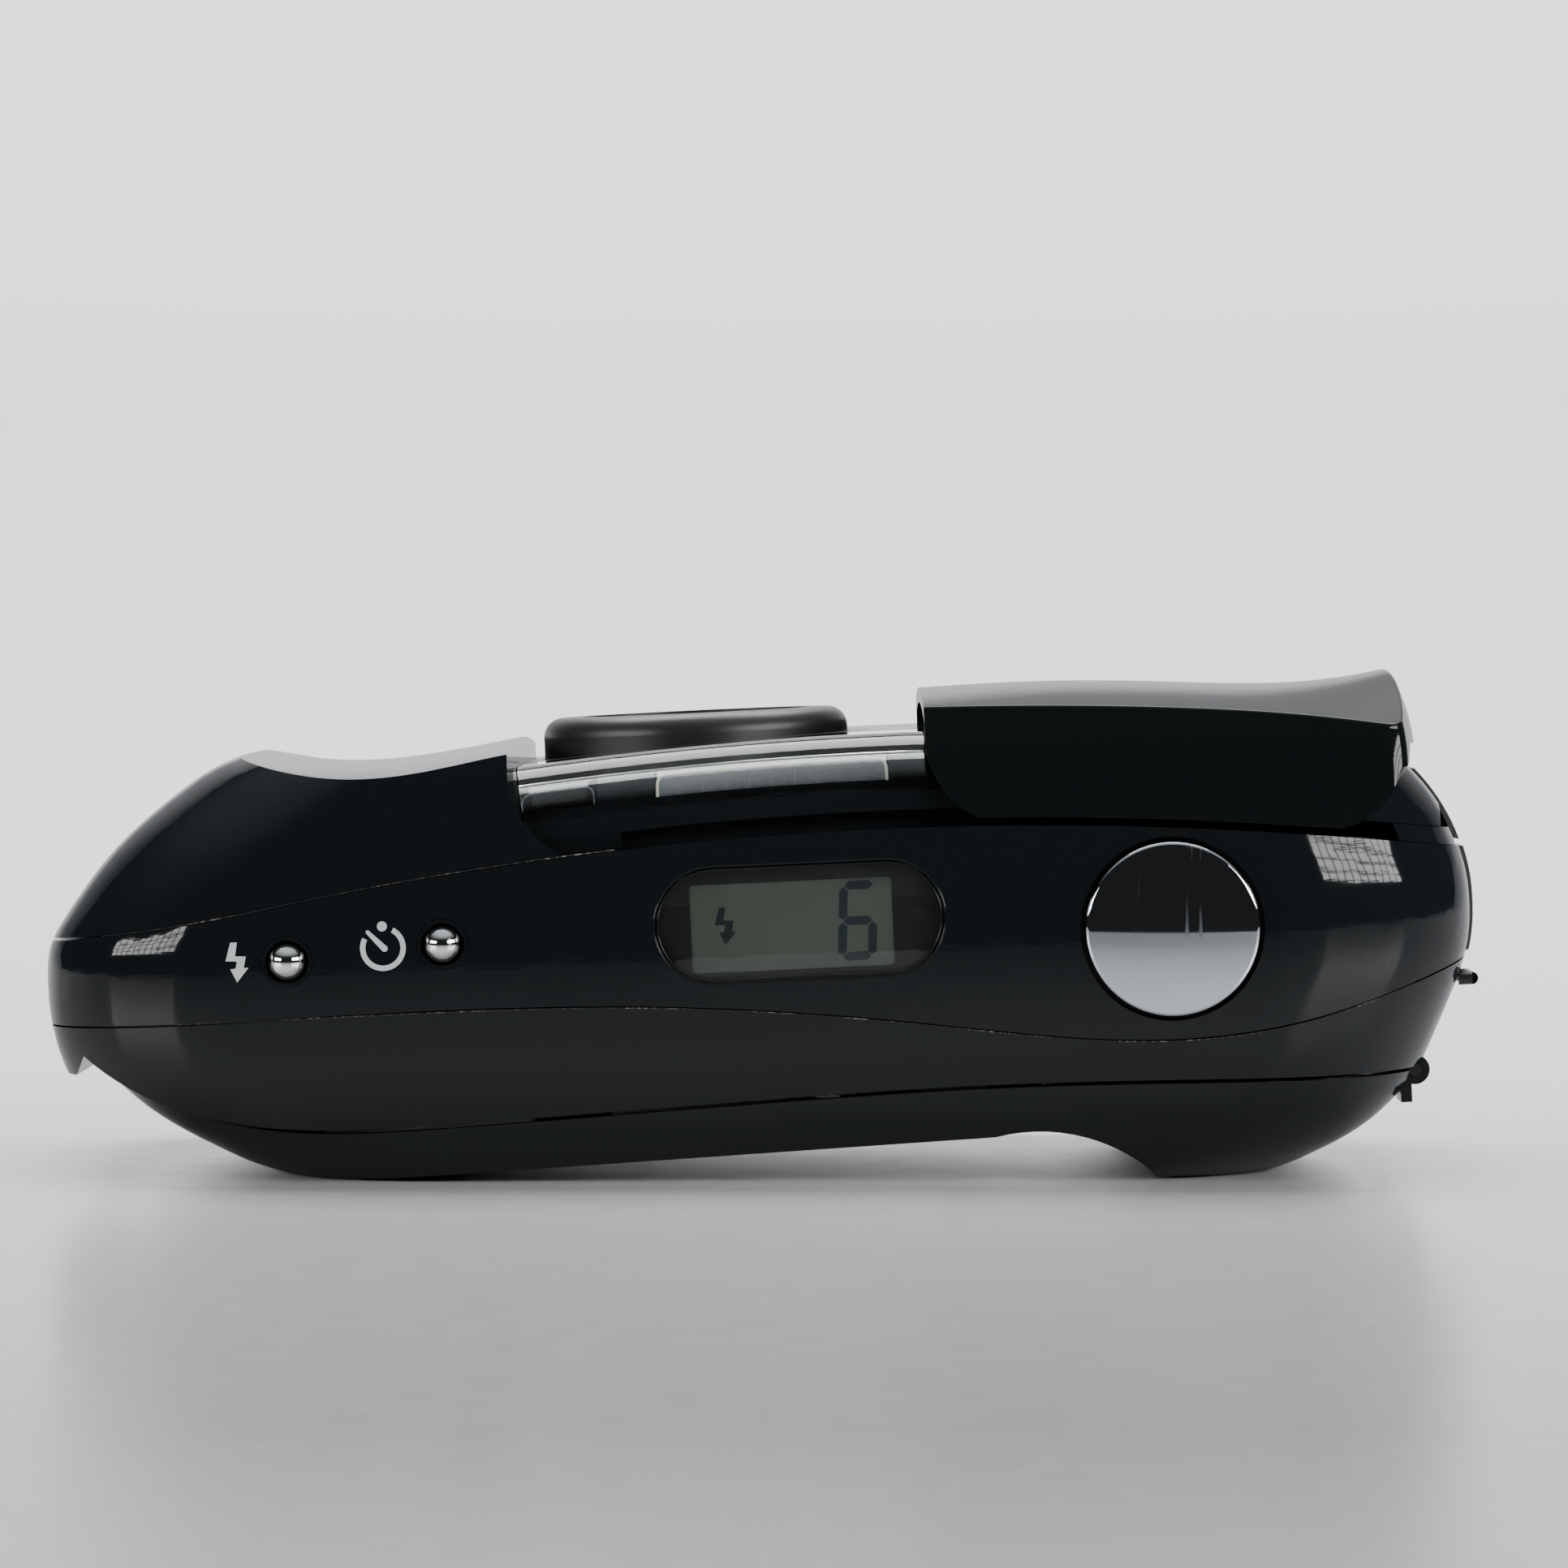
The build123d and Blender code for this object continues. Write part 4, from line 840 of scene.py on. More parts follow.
@dataclass(frozen=True)
class SatinMoulding(Finish):
    """Spark-eroded ABS: fine even grain that spreads the light into a soft sheen.

    Lengths are in millimetres. The real grain is finer and is drawn as coarse as it takes to show.
    """

    grain: float = 0.12
    grain_depth: float = 0.04
    cloud_pitch: float = 8.3333333
    cloud_gloss: Pair = (0.9, 1.12)
    strength: float = 0.12

    def make(self) -> bpy.types.Material:
        """Builds a grain of small pits with a slightly cloudy gloss.

        Returns:
            The material.
        """
        material, tree, shader, place = self.start()
        grain = add_node(tree, "ShaderNodeTexNoise", {"Scale": 1 / (self.grain * MM), "Detail": 3.0},
                         {"Vector": place})
        bump = add_node(tree, "ShaderNodeBump",
                        {"Strength": self.strength, "Distance": self.grain_depth * MM},
                        {"Height": grain.outputs["Fac"]})
        tree.links.new(bump.outputs["Normal"], shader.inputs["Normal"])
        limits = tuple(self.roughness * share for share in self.cloud_gloss)
        gloss = clouds(tree, place, self.cloud_pitch, 3.0, (0.3, 0.7), limits)
        tree.links.new(gloss, shader.inputs["Roughness"])
        return material


@dataclass(frozen=True)
class ScratchedMetal(Finish):
    """Plated or turned metal: mirror gloss broken by hairline scratches in many directions.

    Each direction is a turn in radians and the stretch of its noise, which is set coarser than
    the scratches and squeezed across them. Lengths are in millimetres.
    """

    scratch_pitch: float = 1.6
    scratch_depth: float = 0.03
    scratch_haze: float = 0.16
    strength: float = 0.05
    coarseness: float = 10.0
    directions: Tuple = (((0.4, 0.6, 0.3), (9.0, 9.0, 0.35)), ((0.2, -0.5, 0.5), (8.0, 8.0, 0.3)),
                         ((0.3, 1.3, 0.2), (9.0, 9.0, 0.4)))
    line_span: Pair = (0.635, 0.665)

    def make(self) -> bpy.types.Material:
        """Builds crossed sets of stretched noise that dull and dent the mirror along thin lines.

        Returns:
            The material.
        """
        material, tree, shader, place = self.start()
        marks = None
        for turn, stretch in self.directions:
            mapped = add_node(tree, "ShaderNodeMapping", {"Scale": stretch, "Rotation": turn},
                              {"Vector": place}).outputs["Vector"]
            line = clouds(tree, mapped, self.scratch_pitch * self.coarseness, 4.0, self.line_span)
            marks = line if marks is None else add_node(
                tree, "ShaderNodeMath", {"operation": "MAXIMUM"}, {0: marks, 1: line}).outputs[0]
        dull = add_node(tree, "ShaderNodeMapRange",
                        {"To Min": self.roughness, "To Max": self.roughness + self.scratch_haze},
                        {"Value": marks})
        tree.links.new(dull.outputs["Result"], shader.inputs["Roughness"])
        bump = add_node(tree, "ShaderNodeBump",
                        {"Strength": self.strength, "Distance": self.scratch_depth * MM}, {"Height": marks})
        tree.links.new(bump.outputs["Normal"], shader.inputs["Normal"])
        return material


@dataclass(frozen=True)
class SpeckledDust(Finish):
    """Dust in a seam: black plastic that shows grey-brown grains in uneven runs, in millimetres."""

    grain_colour: str = "#7a7368"
    grain: float = 0.35
    grain_span: Pair = (0.5, 0.62)
    run: float = 6.25
    run_span: Pair = (0.45, 0.65)

    def make(self) -> bpy.types.Material:
        """Builds grains by noise, thinned out by a slower noise along the seam.

        Returns:
            The material.
        """
        material, tree, shader, place = self.start()
        grains = clouds(tree, place, self.grain, 3.0, self.grain_span)
        runs = clouds(tree, place, self.run, 2.0, self.run_span)
        shown = add_node(tree, "ShaderNodeMath", {"operation": "MULTIPLY"}, {0: grains, 1: runs})
        colour = add_node(tree, "ShaderNodeMix", {"data_type": "RGBA", 6: linear(self.colour),
                                                  7: linear(self.grain_colour)}, {0: shown.outputs[0]})
        tree.links.new(colour.outputs[2], shader.inputs["Base Color"])
        return material


@dataclass(frozen=True)
class ClearMoulding(Finish):
    """Clear acrylic or glass: light passes, a thin sharp reflection stays on top.

    A thin window bends little of the light, so its body has a small index and its gloss is a coat.
    """

    clarity: float = 1.0
    gloss: float = 0.0
    gloss_index: float = 1.49
    haze: float = 0.03
    cloud_pitch: float = 6.6666667

    def make(self) -> bpy.types.Material:
        """Builds a clear body with a trace of haze.

        Returns:
            The material.
        """
        material, tree, shader, place = self.start()
        shader.inputs["Transmission Weight"].default_value = self.clarity
        shader.inputs["Coat Weight"].default_value = self.gloss
        shader.inputs["Coat IOR"].default_value = self.gloss_index
        shader.inputs["Coat Roughness"].default_value = 0.0
        limits = (self.roughness, self.roughness + self.haze)
        haze = clouds(tree, place, self.cloud_pitch, 3.0, (0.4, 0.8), limits)
        tree.links.new(haze, shader.inputs["Roughness"])
        return material


class Finishes:
    """Every finish of the camera, made once."""

    def __init__(self) -> None:
        """Makes the materials."""
        # ABS from a polished tool: windows mirror sharply in deep black, with single specks of dust.
        self.shell = GlossMoulding("gloss black ABS", "#141719", 0.06).make()
        # The same plastic, a touch duller: reflections with soft edges.
        self.door = GlossMoulding("semi-gloss black ABS", "#15181a", 0.13).make()
        # The cover has a thinner gloss: its faces show the backdrop as one even grey.
        self.cover = GlossMoulding("gloss black ABS of the cover", "#111415", 0.055, wet=0.38,
                                   wet_index=1.6).make()
        # Spark-eroded ABS: dark with a broad soft sheen and no mirror image.
        self.satin = SatinMoulding("satin black ABS", "#101112", 0.34).make()
        # Satin paint over a turned ring: a soft, broad highlight follows the rim.
        self.ring = SatinMoulding("satin black painted ring", "#1f2022", 0.4, grain=0.1, strength=0.06).make()
        # Matt inner mouldings: almost no highlight, so they read as depth.
        self.inner = SatinMoulding("matt black moulding", "#0c0c0d", 0.6).make()
        # Grained rubber: warm grey-brown, coarse and without gloss.
        self.trim = SatinMoulding("grained grey-brown rubber", "#3a3633", 0.62, grain=0.25,
                                   strength=0.3).make()
        # Chrome plate: a cool mirror for floor and room, broken by hairlines.
        self.chrome = ScratchedMetal("chrome plate", "#cfd4da", 0.035, 1.0, scratch_pitch=1.3).make()
        # Polished balls: small mirrors that each show the whole room.
        self.bright = ScratchedMetal("polished chrome balls", "#e4e5e6", 0.02, 1.0, strength=0.01).make()
        # Drawn steel: grey with a soft metal sheen.
        self.steel = ScratchedMetal("bright steel", "#a9abad", 0.25, 1.0).make()
        # Pressed aluminium sheet: a bright, slightly clouded mirror.
        self.reflector = ScratchedMetal("polished aluminium", "#d5dadd", 0.12, 1.0, strength=0.02).make()
        # Turned brass: yellow metal with tool marks.
        self.brass = ScratchedMetal("turned brass", "#b59a5c", 0.28, 1.0).make()
        # Moulded acrylic: clear, with the bright parts of the room lying on it.
        self.window = ClearMoulding("clear acrylic", "#eef1f2", 0.0, ior=1.02, gloss=1.0).make()
        # Coated glass: deep, with the violet cast of its coating.
        self.lens = ClearMoulding("coated optical glass", "#c9c4ea", 0.0, ior=1.6).make()
        # Ribbed polycarbonate: milky clear, what lies behind it blurs.
        self.flash = ClearMoulding("ribbed clear polycarbonate", "#eef2f4", 0.08, ior=1.58,
                                   clarity=0.85).make()
        # Cream ABS round the flash: a warm, pale edge behind the panel.
        self.cream = Finish("cream flash housing", "#e9e4cf", 0.45).make()
        # Liquid crystal glass: a flat, matt grey-green ground.
        self.lcd = Finish("liquid crystal glass", "#565951", 0.35).make()
        # Switched segments: dark blue-grey, low in contrast.
        self.lcd_mark = Finish("liquid crystal segments", "#1f2a2f", 0.4).make()
        # The fully dark symbol on the same glass.
        self.lcd_ink = Finish("liquid crystal symbol", "#10181c", 0.4).make()
        # Edges moulded in clear acrylic, drawn as thin grey lines: the grey is a painted glint of the light
        # that they catch.
        self.line = Finish("painted glint on clear acrylic edges", "#6d7478", 0.3).make()
        # Thin glass: only its outline and its glints show.
        self.tube = ClearMoulding("flash tube glass", "#eef0f2", 0.0, ior=1.46).make()
        # Anodised aluminium: black with a faint metal sheen.
        self.anodised = ScratchedMetal("black anodised aluminium", "#17181a", 0.3, 0.6).make()
        # Shrunk sleeve: smooth, dark blue-grey.
        self.capacitor = Finish("shrink sleeve", "#1d2228", 0.35).make()
        # Pad printing ink: an even light grey without gloss.
        self.ink = Finish("light grey pad print", "#c4c7c8", 0.5).make()
        # Settled dust: dull grey-brown grains in a dark line.
        self.dust = SpeckledDust("settled dust", "#0c0d0e", 0.8).make()
        # Glass fibre under solder lacquer: dark green, half gloss.
        self.board = Finish("green circuit board", "#1d4a2e", 0.45).make()
        # Printed metal foil: yellow with a metal glint.
        self.battery = Finish("printed battery sleeve", "#b8a43a", 0.35, 0.6).make()
        # Black ABS where no light reaches: flat black.
        self.gap = Finish("shadow black ABS", "#020202", 0.5).make()


# Sub-assemblies


def dress(frame: Dict, materials: Dict[str, bpy.types.Material]) -> None:
    """Gives kept CAD nodes their finish.

    Args:
        materials: Finish by node name.
    """
    for node, material in materials.items():
        piece = frame["nodes"][node]
        if not piece.material_slots:
            piece.data.materials.append(material)
        for place in piece.material_slots:
            place.link = "OBJECT"
            place.material = material
        log.info("%s: dressed in %s", node, material.name)


@dataclass
class Casing:
    """The moulded shells, the back door, the battery door and the trim at the right end."""

    def dress(self, frame: Dict, looks: Finishes) -> None:
        """Dresses the shells.

        Args:
            looks: The finishes.
        """
        dress(frame, {
            "front_shell": looks.shell, "top_belt": looks.shell, "rear_shell": looks.shell,
            "back_door": looks.door, "battery_door": looks.shell,
            "right_trim": looks.trim, "front_trim": looks.trim, "door_latch": looks.satin,
            "strap_lug": looks.satin, "tripod_socket": looks.brass, "zoom_rocker": looks.satin,
            "door_hinge_pin": looks.satin, "battery_door_pin": looks.steel,
            "eyepiece_window": looks.window, "film_window": looks.window,
        })


@dataclass
class SlidingCover:
    """The front cover: a thin shell with a scooped face, a crisp crease and a swept left edge.

    Its foot runs along the track, its right end bulges a little and its end corners are round.
    sweep_bow is a point of the left edge's sweep, as a distance from the edge and a level. The
    points of foot_corner are distances from the end of the side and rises above the foot.
    """

    form: CameraForm = FORM
    thickness: float = 1.2
    crease: float = 0.28
    left: float = 13.9
    sweep_level: float = 31.9
    sweep_run: float = 3.8
    sweep_bow: Pair = (1.05, 28.9)
    sweep_below: float = 0.3
    side_end: float = 51.5
    tip: float = 53.8
    bulge_half: float = 28.0
    end_corner: float = 1.6
    lean_level: float = 29.0
    lean: float = 0.033
    lift: float = 0.45
    foot_corner: Tuple = ((-5.6, 0.0), (-2.2, 1.6), (-0.6, 4.5))
    end_slope: float = 0.2
    long_points: int = 80
    corner_points: int = 14
    end_points: int = 40
    tab_x: Pair = (24.5, 44.0)
    tab_y: Pair = (26.1, 28.5)
    tab_overlap: float = 0.05
    tab_clear: float = 0.25
    tab_stations: int = 24
    core_gap: float = 0.35
    arch_blend: float = 0.5
    face_half: float = 27.0
    edge_levels: Tuple = ((4.0, 35.3), (13.0, 35.2), (24.0, 34.85), (34.0, 34.25), (42.0, 33.5), (48.0, 32.7),
                          (52.0, 32.1), (58.0, 31.2))
    crest_levels: Tuple = ((4.0, 36.2), (13.0, 36.4), (24.0, 36.5), (34.0, 36.0), (42.0, 35.5), (48.0, 35.65),
                           (52.0, 36.2), (58.0, 37.6))

    @property
    def foot_radius(self) -> float:
        """Track radius of the cover's lower edge."""
        return self.form.seam_radius + self.form.slot_gap + self.lift

    def left_edge(self, z: Array) -> Array:
        """X of the left edge: straight above its turning level, an arc that sweeps right below it.

        Args:
            z: Levels.

        Returns:
            X of the edge.
        """
        turn, foot_x = self.sweep_level, self.left + self.sweep_run
        foot = (foot_x, float(self.form.track_level(foot_x, self.foot_radius)))
        bow = (self.left + self.sweep_bow[0], self.sweep_bow[1])
        cx, cz, radius = circle_through((self.left, turn), bow, foot)
        inside = np.clip(z, foot[1] - self.sweep_below, turn)
        swept = cx - np.sign(cx - self.left) * reach((cx, cz, radius), inside)
        return np.where(z >= turn, self.left, swept)

    def side(self, z: Array, inset: float) -> Tuple[Array, Array]:
        """Plan outline at a level: near side, round corner, bulging end, round corner, far side.

        The bulge is a shallow arc, drawn as a parabola: x falls from the tip by the square of y. The
        tip leans in by the square of the height above its leaning level.

        Args:
            z: Levels, one row or a column of rows.
            inset: How far the outline lies inside the outer form.

        Returns:
            X and y of the outline.
        """
        half, start, r = self.form.half(z) - inset, self.left_edge(z), self.end_corner - inset
        counts = [self.long_points, self.corner_points, self.end_points, self.corner_points, self.long_points]
        run = np.concatenate([np.full(n, i) for i, n in enumerate(counts)])
        even = [np.linspace(0, 1, n) for n in counts]
        even[1] = even[3] = np.linspace(0, 1, self.corner_points + 2)[1:-1]
        f = np.concatenate(even)
        sag = (self.tip - self.side_end) / self.bulge_half ** 2
        low_y, tip = half - r, self.tip - self.lean * np.maximum(z - self.lean_level, 0.0) ** 2 - inset
        end_x = tip - sag * low_y ** 2
        sine, cosine = np.sin(f * math.pi / 2), np.cos(f * math.pi / 2)
        y_end = (2 * f - 1) * low_y
        xs = [start + f * (end_x - r - start), end_x - r + r * sine, tip - sag * y_end ** 2,
              end_x - r + r * cosine, end_x - r + f * (start - end_x + r)]
        ys = [-half, -low_y - r * cosine, y_end, low_y + r * sine, half]
        shape = np.broadcast(z, f).shape
        picks = [np.broadcast_to(run == i, shape) for i in range(len(counts))]
        x, y = (np.select(picks, [np.broadcast_to(v, shape) for v in values]) for values in (xs, ys))
        return x, y

    def core_level(self, x: Array, y: Array) -> Array:
        """Level of the front core's skin with the running gap: flat in front, round at the long edges.

        Args:
            x: Places along the camera.
            y: Places across it.

        Returns:
            Levels.
        """
        form, gap = self.form, self.core_gap
        top, r = form.front_radius + gap, form.front_round + gap
        out = np.maximum(np.abs(y) - (form.core_half - form.core_draft + gap - r), 0.0)
        return form.track_level(x, top - r + np.sqrt(np.maximum(r ** 2 - out ** 2, 0.0)))

    def foot(self, x: Array, y: Array) -> Array:
        """Level of the lower edge: the track's arc, then a round corner that rises to the right end.

        The right end has an arch that lets the front core through when the cover closes.

        Args:
            x: Places along the camera.
            y: Places across it.

        Returns:
            Levels.
        """
        start, last = (self.side_end + self.foot_corner[i][0] for i in (0, 2))
        base = self.form.track_level(x, self.foot_radius)
        low = float(self.form.track_level(start, self.foot_radius))
        cx, cz, radius = circle_through(*((self.side_end + dx, low + rise) for dx, rise in self.foot_corner))
        bend = cz - np.sqrt(np.maximum(radius ** 2 - (np.minimum(x, last) - cx) ** 2, 0.0))
        edge = np.where(x < start, base, bend + self.end_slope * np.maximum(x - last, 0.0))
        beside = np.clip((np.abs(y) - self.form.core_half - self.core_gap) / self.arch_blend, 0.0, 1.0)
        arch = np.maximum(self.core_level(x, y), edge)
        return arch + (edge - arch) * beside

    def face(self, x: Array, y: Array) -> Array:
        """Level of the face: a crest line, less a fall that grows with the square of y."""
        edge, crest = natural_spline(self.edge_levels)(x), natural_spline(self.crest_levels)(x)
        return crest - (crest - edge) * (y / self.face_half) ** 2

    def build(self, looks: Finishes) -> None:
        """Builds the shell and the tabs that run in the track's slots.

        Args:
            looks: The finishes.
        """
        shell = CappedShell(self.side, self.foot, self.face, self.long_points)
        points, faces = shell.closed(self.thickness, self.crease)
        cover = add_piece("cover_shell", FORM.row(points), faces, Body.COVER, looks.cover)
        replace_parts(outward(cover), "sliding_cover")
        inner, outer = self.tab_y
        for name, y0, y1 in (("cover_tab_near", -outer, -inner), ("cover_tab_far", inner, outer)):
            points, faces = self.tab(y0, y1)
            outward(add_piece(name, FORM.row(points), faces, Body.COVER, looks.satin))

    def tab(self, y0: float, y1: float) -> Mesh:
        """A bar in a slot: the corners of its section are (y, radius) on the track.

        Args:
            y0: One side of the tab.
            y1: Its other side.

        Returns:
            Points and faces.
        """
        x = np.linspace(*self.tab_x, self.tab_stations)
        low, high = self.foot_radius - self.tab_overlap, self.form.slot_top_radius - self.tab_clear
        corners = [(y0, low), (y1, low), (y1, high), (y0, high)]
        return swept_bar(np.stack([np.stack([x, np.full(len(x), y), self.form.track_level(x, r)], -1)
                                   for y, r in corners], 1))


@dataclass
class SlotSeal:
    """The closed right end of the cover's slot, where no tab runs: a strip flush with the belt.

    start is the angle in degrees on the end's corners at which the strip begins.
    """

    form: CameraForm = FORM
    level: float = 22.6
    start: float = 48.0
    inset: float = 0.04
    overlap: float = 0.05
    depth: float = 1.4
    height: float = 1.3
    corner_points: int = 24

    def outline(self, inset: float, level: float) -> Array:
        """Plan outline of the right end at a level.

        Args:
            inset: How far it lies inside the belt's skin.
            level: Level.

        Returns:
            Points (x, y) from the near to the far corner.
        """
        half, end = (float(v(np.array(level))) - inset for v in (self.form.half, self.form.right))
        r, count = self.form.corner_right - inset, self.corner_points
        return np.concatenate([arc((end - r, r - half), r, -self.start, 0, count),
                               arc((end - r, half - r), r, 0, self.start, count)])

    def build(self, looks: Finishes) -> None:
        """Builds the strip: its section's four corners run along the outline.

        Args:
            looks: The finishes.
        """
        low = self.form.seam_radius - self.overlap
        deep, high = self.inset + self.depth, low + self.height
        corners = []
        for inset, radius in ((self.inset, low), (deep, low), (deep, high), (self.inset, high)):
            plan = self.outline(inset, self.level + radius - low)
            corners.append(np.stack([plan[:, 0], plan[:, 1], self.form.track_level(plan[:, 0], radius)], -1))
        points, faces = swept_bar(np.stack(corners, 1))
        outward(add_piece("slot_end_seal", FORM.row(points), faces, Body.MAIN, looks.shell))


@dataclass
class SeamDust:
    """Fine grey-brown dust that has settled in the seams of the top plate."""

    form: CameraForm = FORM
    radius: float = 0.05
    sunk: float = 0.03
    reach: float = 51.5
    stations: int = 260
    sides: int = 6

    def skin(self, x: Array, z: Array) -> Array:
        """Depth of the top plate's skin, which bends away in quarter circles at both ends.

        Args:
            x: Places along the camera.
            z: Levels.

        Returns:
            Y of the skin.
        """
        form = self.form
        half = form.half(z)
        over = np.maximum(x - (form.right(z) - form.corner_right), 0.0)
        under = np.maximum(form.left(z) + form.corner_left - x, 0.0)
        near = form.corner_right - np.sqrt(np.maximum(form.corner_right ** 2 - over ** 2, 0.0))
        far = form.corner_left - np.sqrt(np.maximum(form.corner_left ** 2 - under ** 2, 0.0))
        return -(half - near - far)

    def build(self, looks: Finishes) -> None:
        """Lays a bead of dust along both seams.

        Args:
            looks: The finishes.
        """
        seam_b = natural_spline(self.form.seam_b_points)
        for name, level, end in (("seam_dust_low", seam_b, self.reach),
                                 ("seam_dust_high", self.form.seam_a, self.form.slot_left)):
            x = np.linspace(-self.reach, end, self.stations)
            z = level(x)
            path = np.stack([x, self.skin(x, z) + self.sunk, z], 1)
            add_bead(name, path, self.radius, Body.MAIN, looks.dust, closed=False,
                     sides=self.sides)


@dataclass
class PlatePrints:
    """Light grey pad prints on the top plate: a bolt and a self-timer dial.

    The hand's tip and foot are measured from the middle of the dial, and so is the dot's rise.
    The dial is an arc between its two angles, in degrees.
    """

    form: CameraForm = FORM
    bolt_x: float = -40.6
    bolt_z: float = 17.75
    bolt_height: float = 3.13
    dial_x: float = -29.15
    dial_z: float = 18.35
    dial_radius: float = 1.58
    dial_from: float = -209.0
    dial_to: float = 60.0
    dial_points: int = 72
    stroke: float = 0.42
    dot_rise: float = 1.69
    dot_radius: float = 0.39
    dot_points: int = 36
    hand_tip: Pair = (-1.14, 1.28)
    hand_tip_radius: float = 0.15
    hand_tip_points: int = 14
    hand_foot: Pair = (0.12, -0.05)
    hand_foot_radius: float = 0.25
    hand_foot_points: int = 8
    film: float = 0.012
    sunk: float = 0.05

    def build(self, looks: Finishes) -> None:
        """Builds both prints.

        Args:
            looks: The finishes.
        """
        centre, half = (self.dial_x, self.dial_z), self.stroke / 2
        dial = [arc(centre, self.dial_radius + half, self.dial_from, self.dial_to, self.dial_points),
                arc(centre, self.dial_radius - half, self.dial_to, self.dial_from, self.dial_points)]
        dot_centre, dot_end = (self.dial_x, self.dial_z + self.dot_rise), 360.0 - 360.0 / self.dot_points
        outlines = {"flash_symbol": bolt_outline(self.bolt_height) + [self.bolt_x, self.bolt_z],
                    "timer_symbol_dial": np.concatenate(dial),
                    "timer_symbol_dot": arc(dot_centre, self.dot_radius, 0, dot_end, self.dot_points),
                    "timer_symbol_hand": self.hand() + [self.dial_x, self.dial_z]}
        for name, outline in outlines.items():
            add_print(name, outline, self.form.plate, self.film, self.sunk, Body.MAIN, looks.ink)

    def hand(self) -> Array:
        """A tapered bar with rounded ends, from the dial's rim towards its middle.

        Returns:
            Its outline, round the middle of the dial.
        """
        tip, foot = np.array(self.hand_tip), np.array(self.hand_foot)
        along = math.degrees(math.atan2(*(foot - tip)[::-1]))
        ends = [arc(self.hand_tip, self.hand_tip_radius, along + 90, along + 270, self.hand_tip_points),
                arc(self.hand_foot, self.hand_foot_radius, along - 90, along + 90, self.hand_foot_points)]
        return np.concatenate(ends)


def bolt_outline(height: float) -> Array:
    """A zigzag bolt with an arrow head at its foot, centred on the origin.

    Args:
        height: Size from top to tip.

    Returns:
        Points (x, z).
    """
    shape = np.array([[-0.144, 0.5], [0.022, 0.5], [-0.038, 0.153], [0.229, 0.137], [0.166, -0.147],
                      [0.284, -0.147], [-0.013, -0.5], [-0.172, -0.166], [-0.038, -0.156], [0.0, 0.022],
                      [-0.28, 0.042]])
    return shape * height


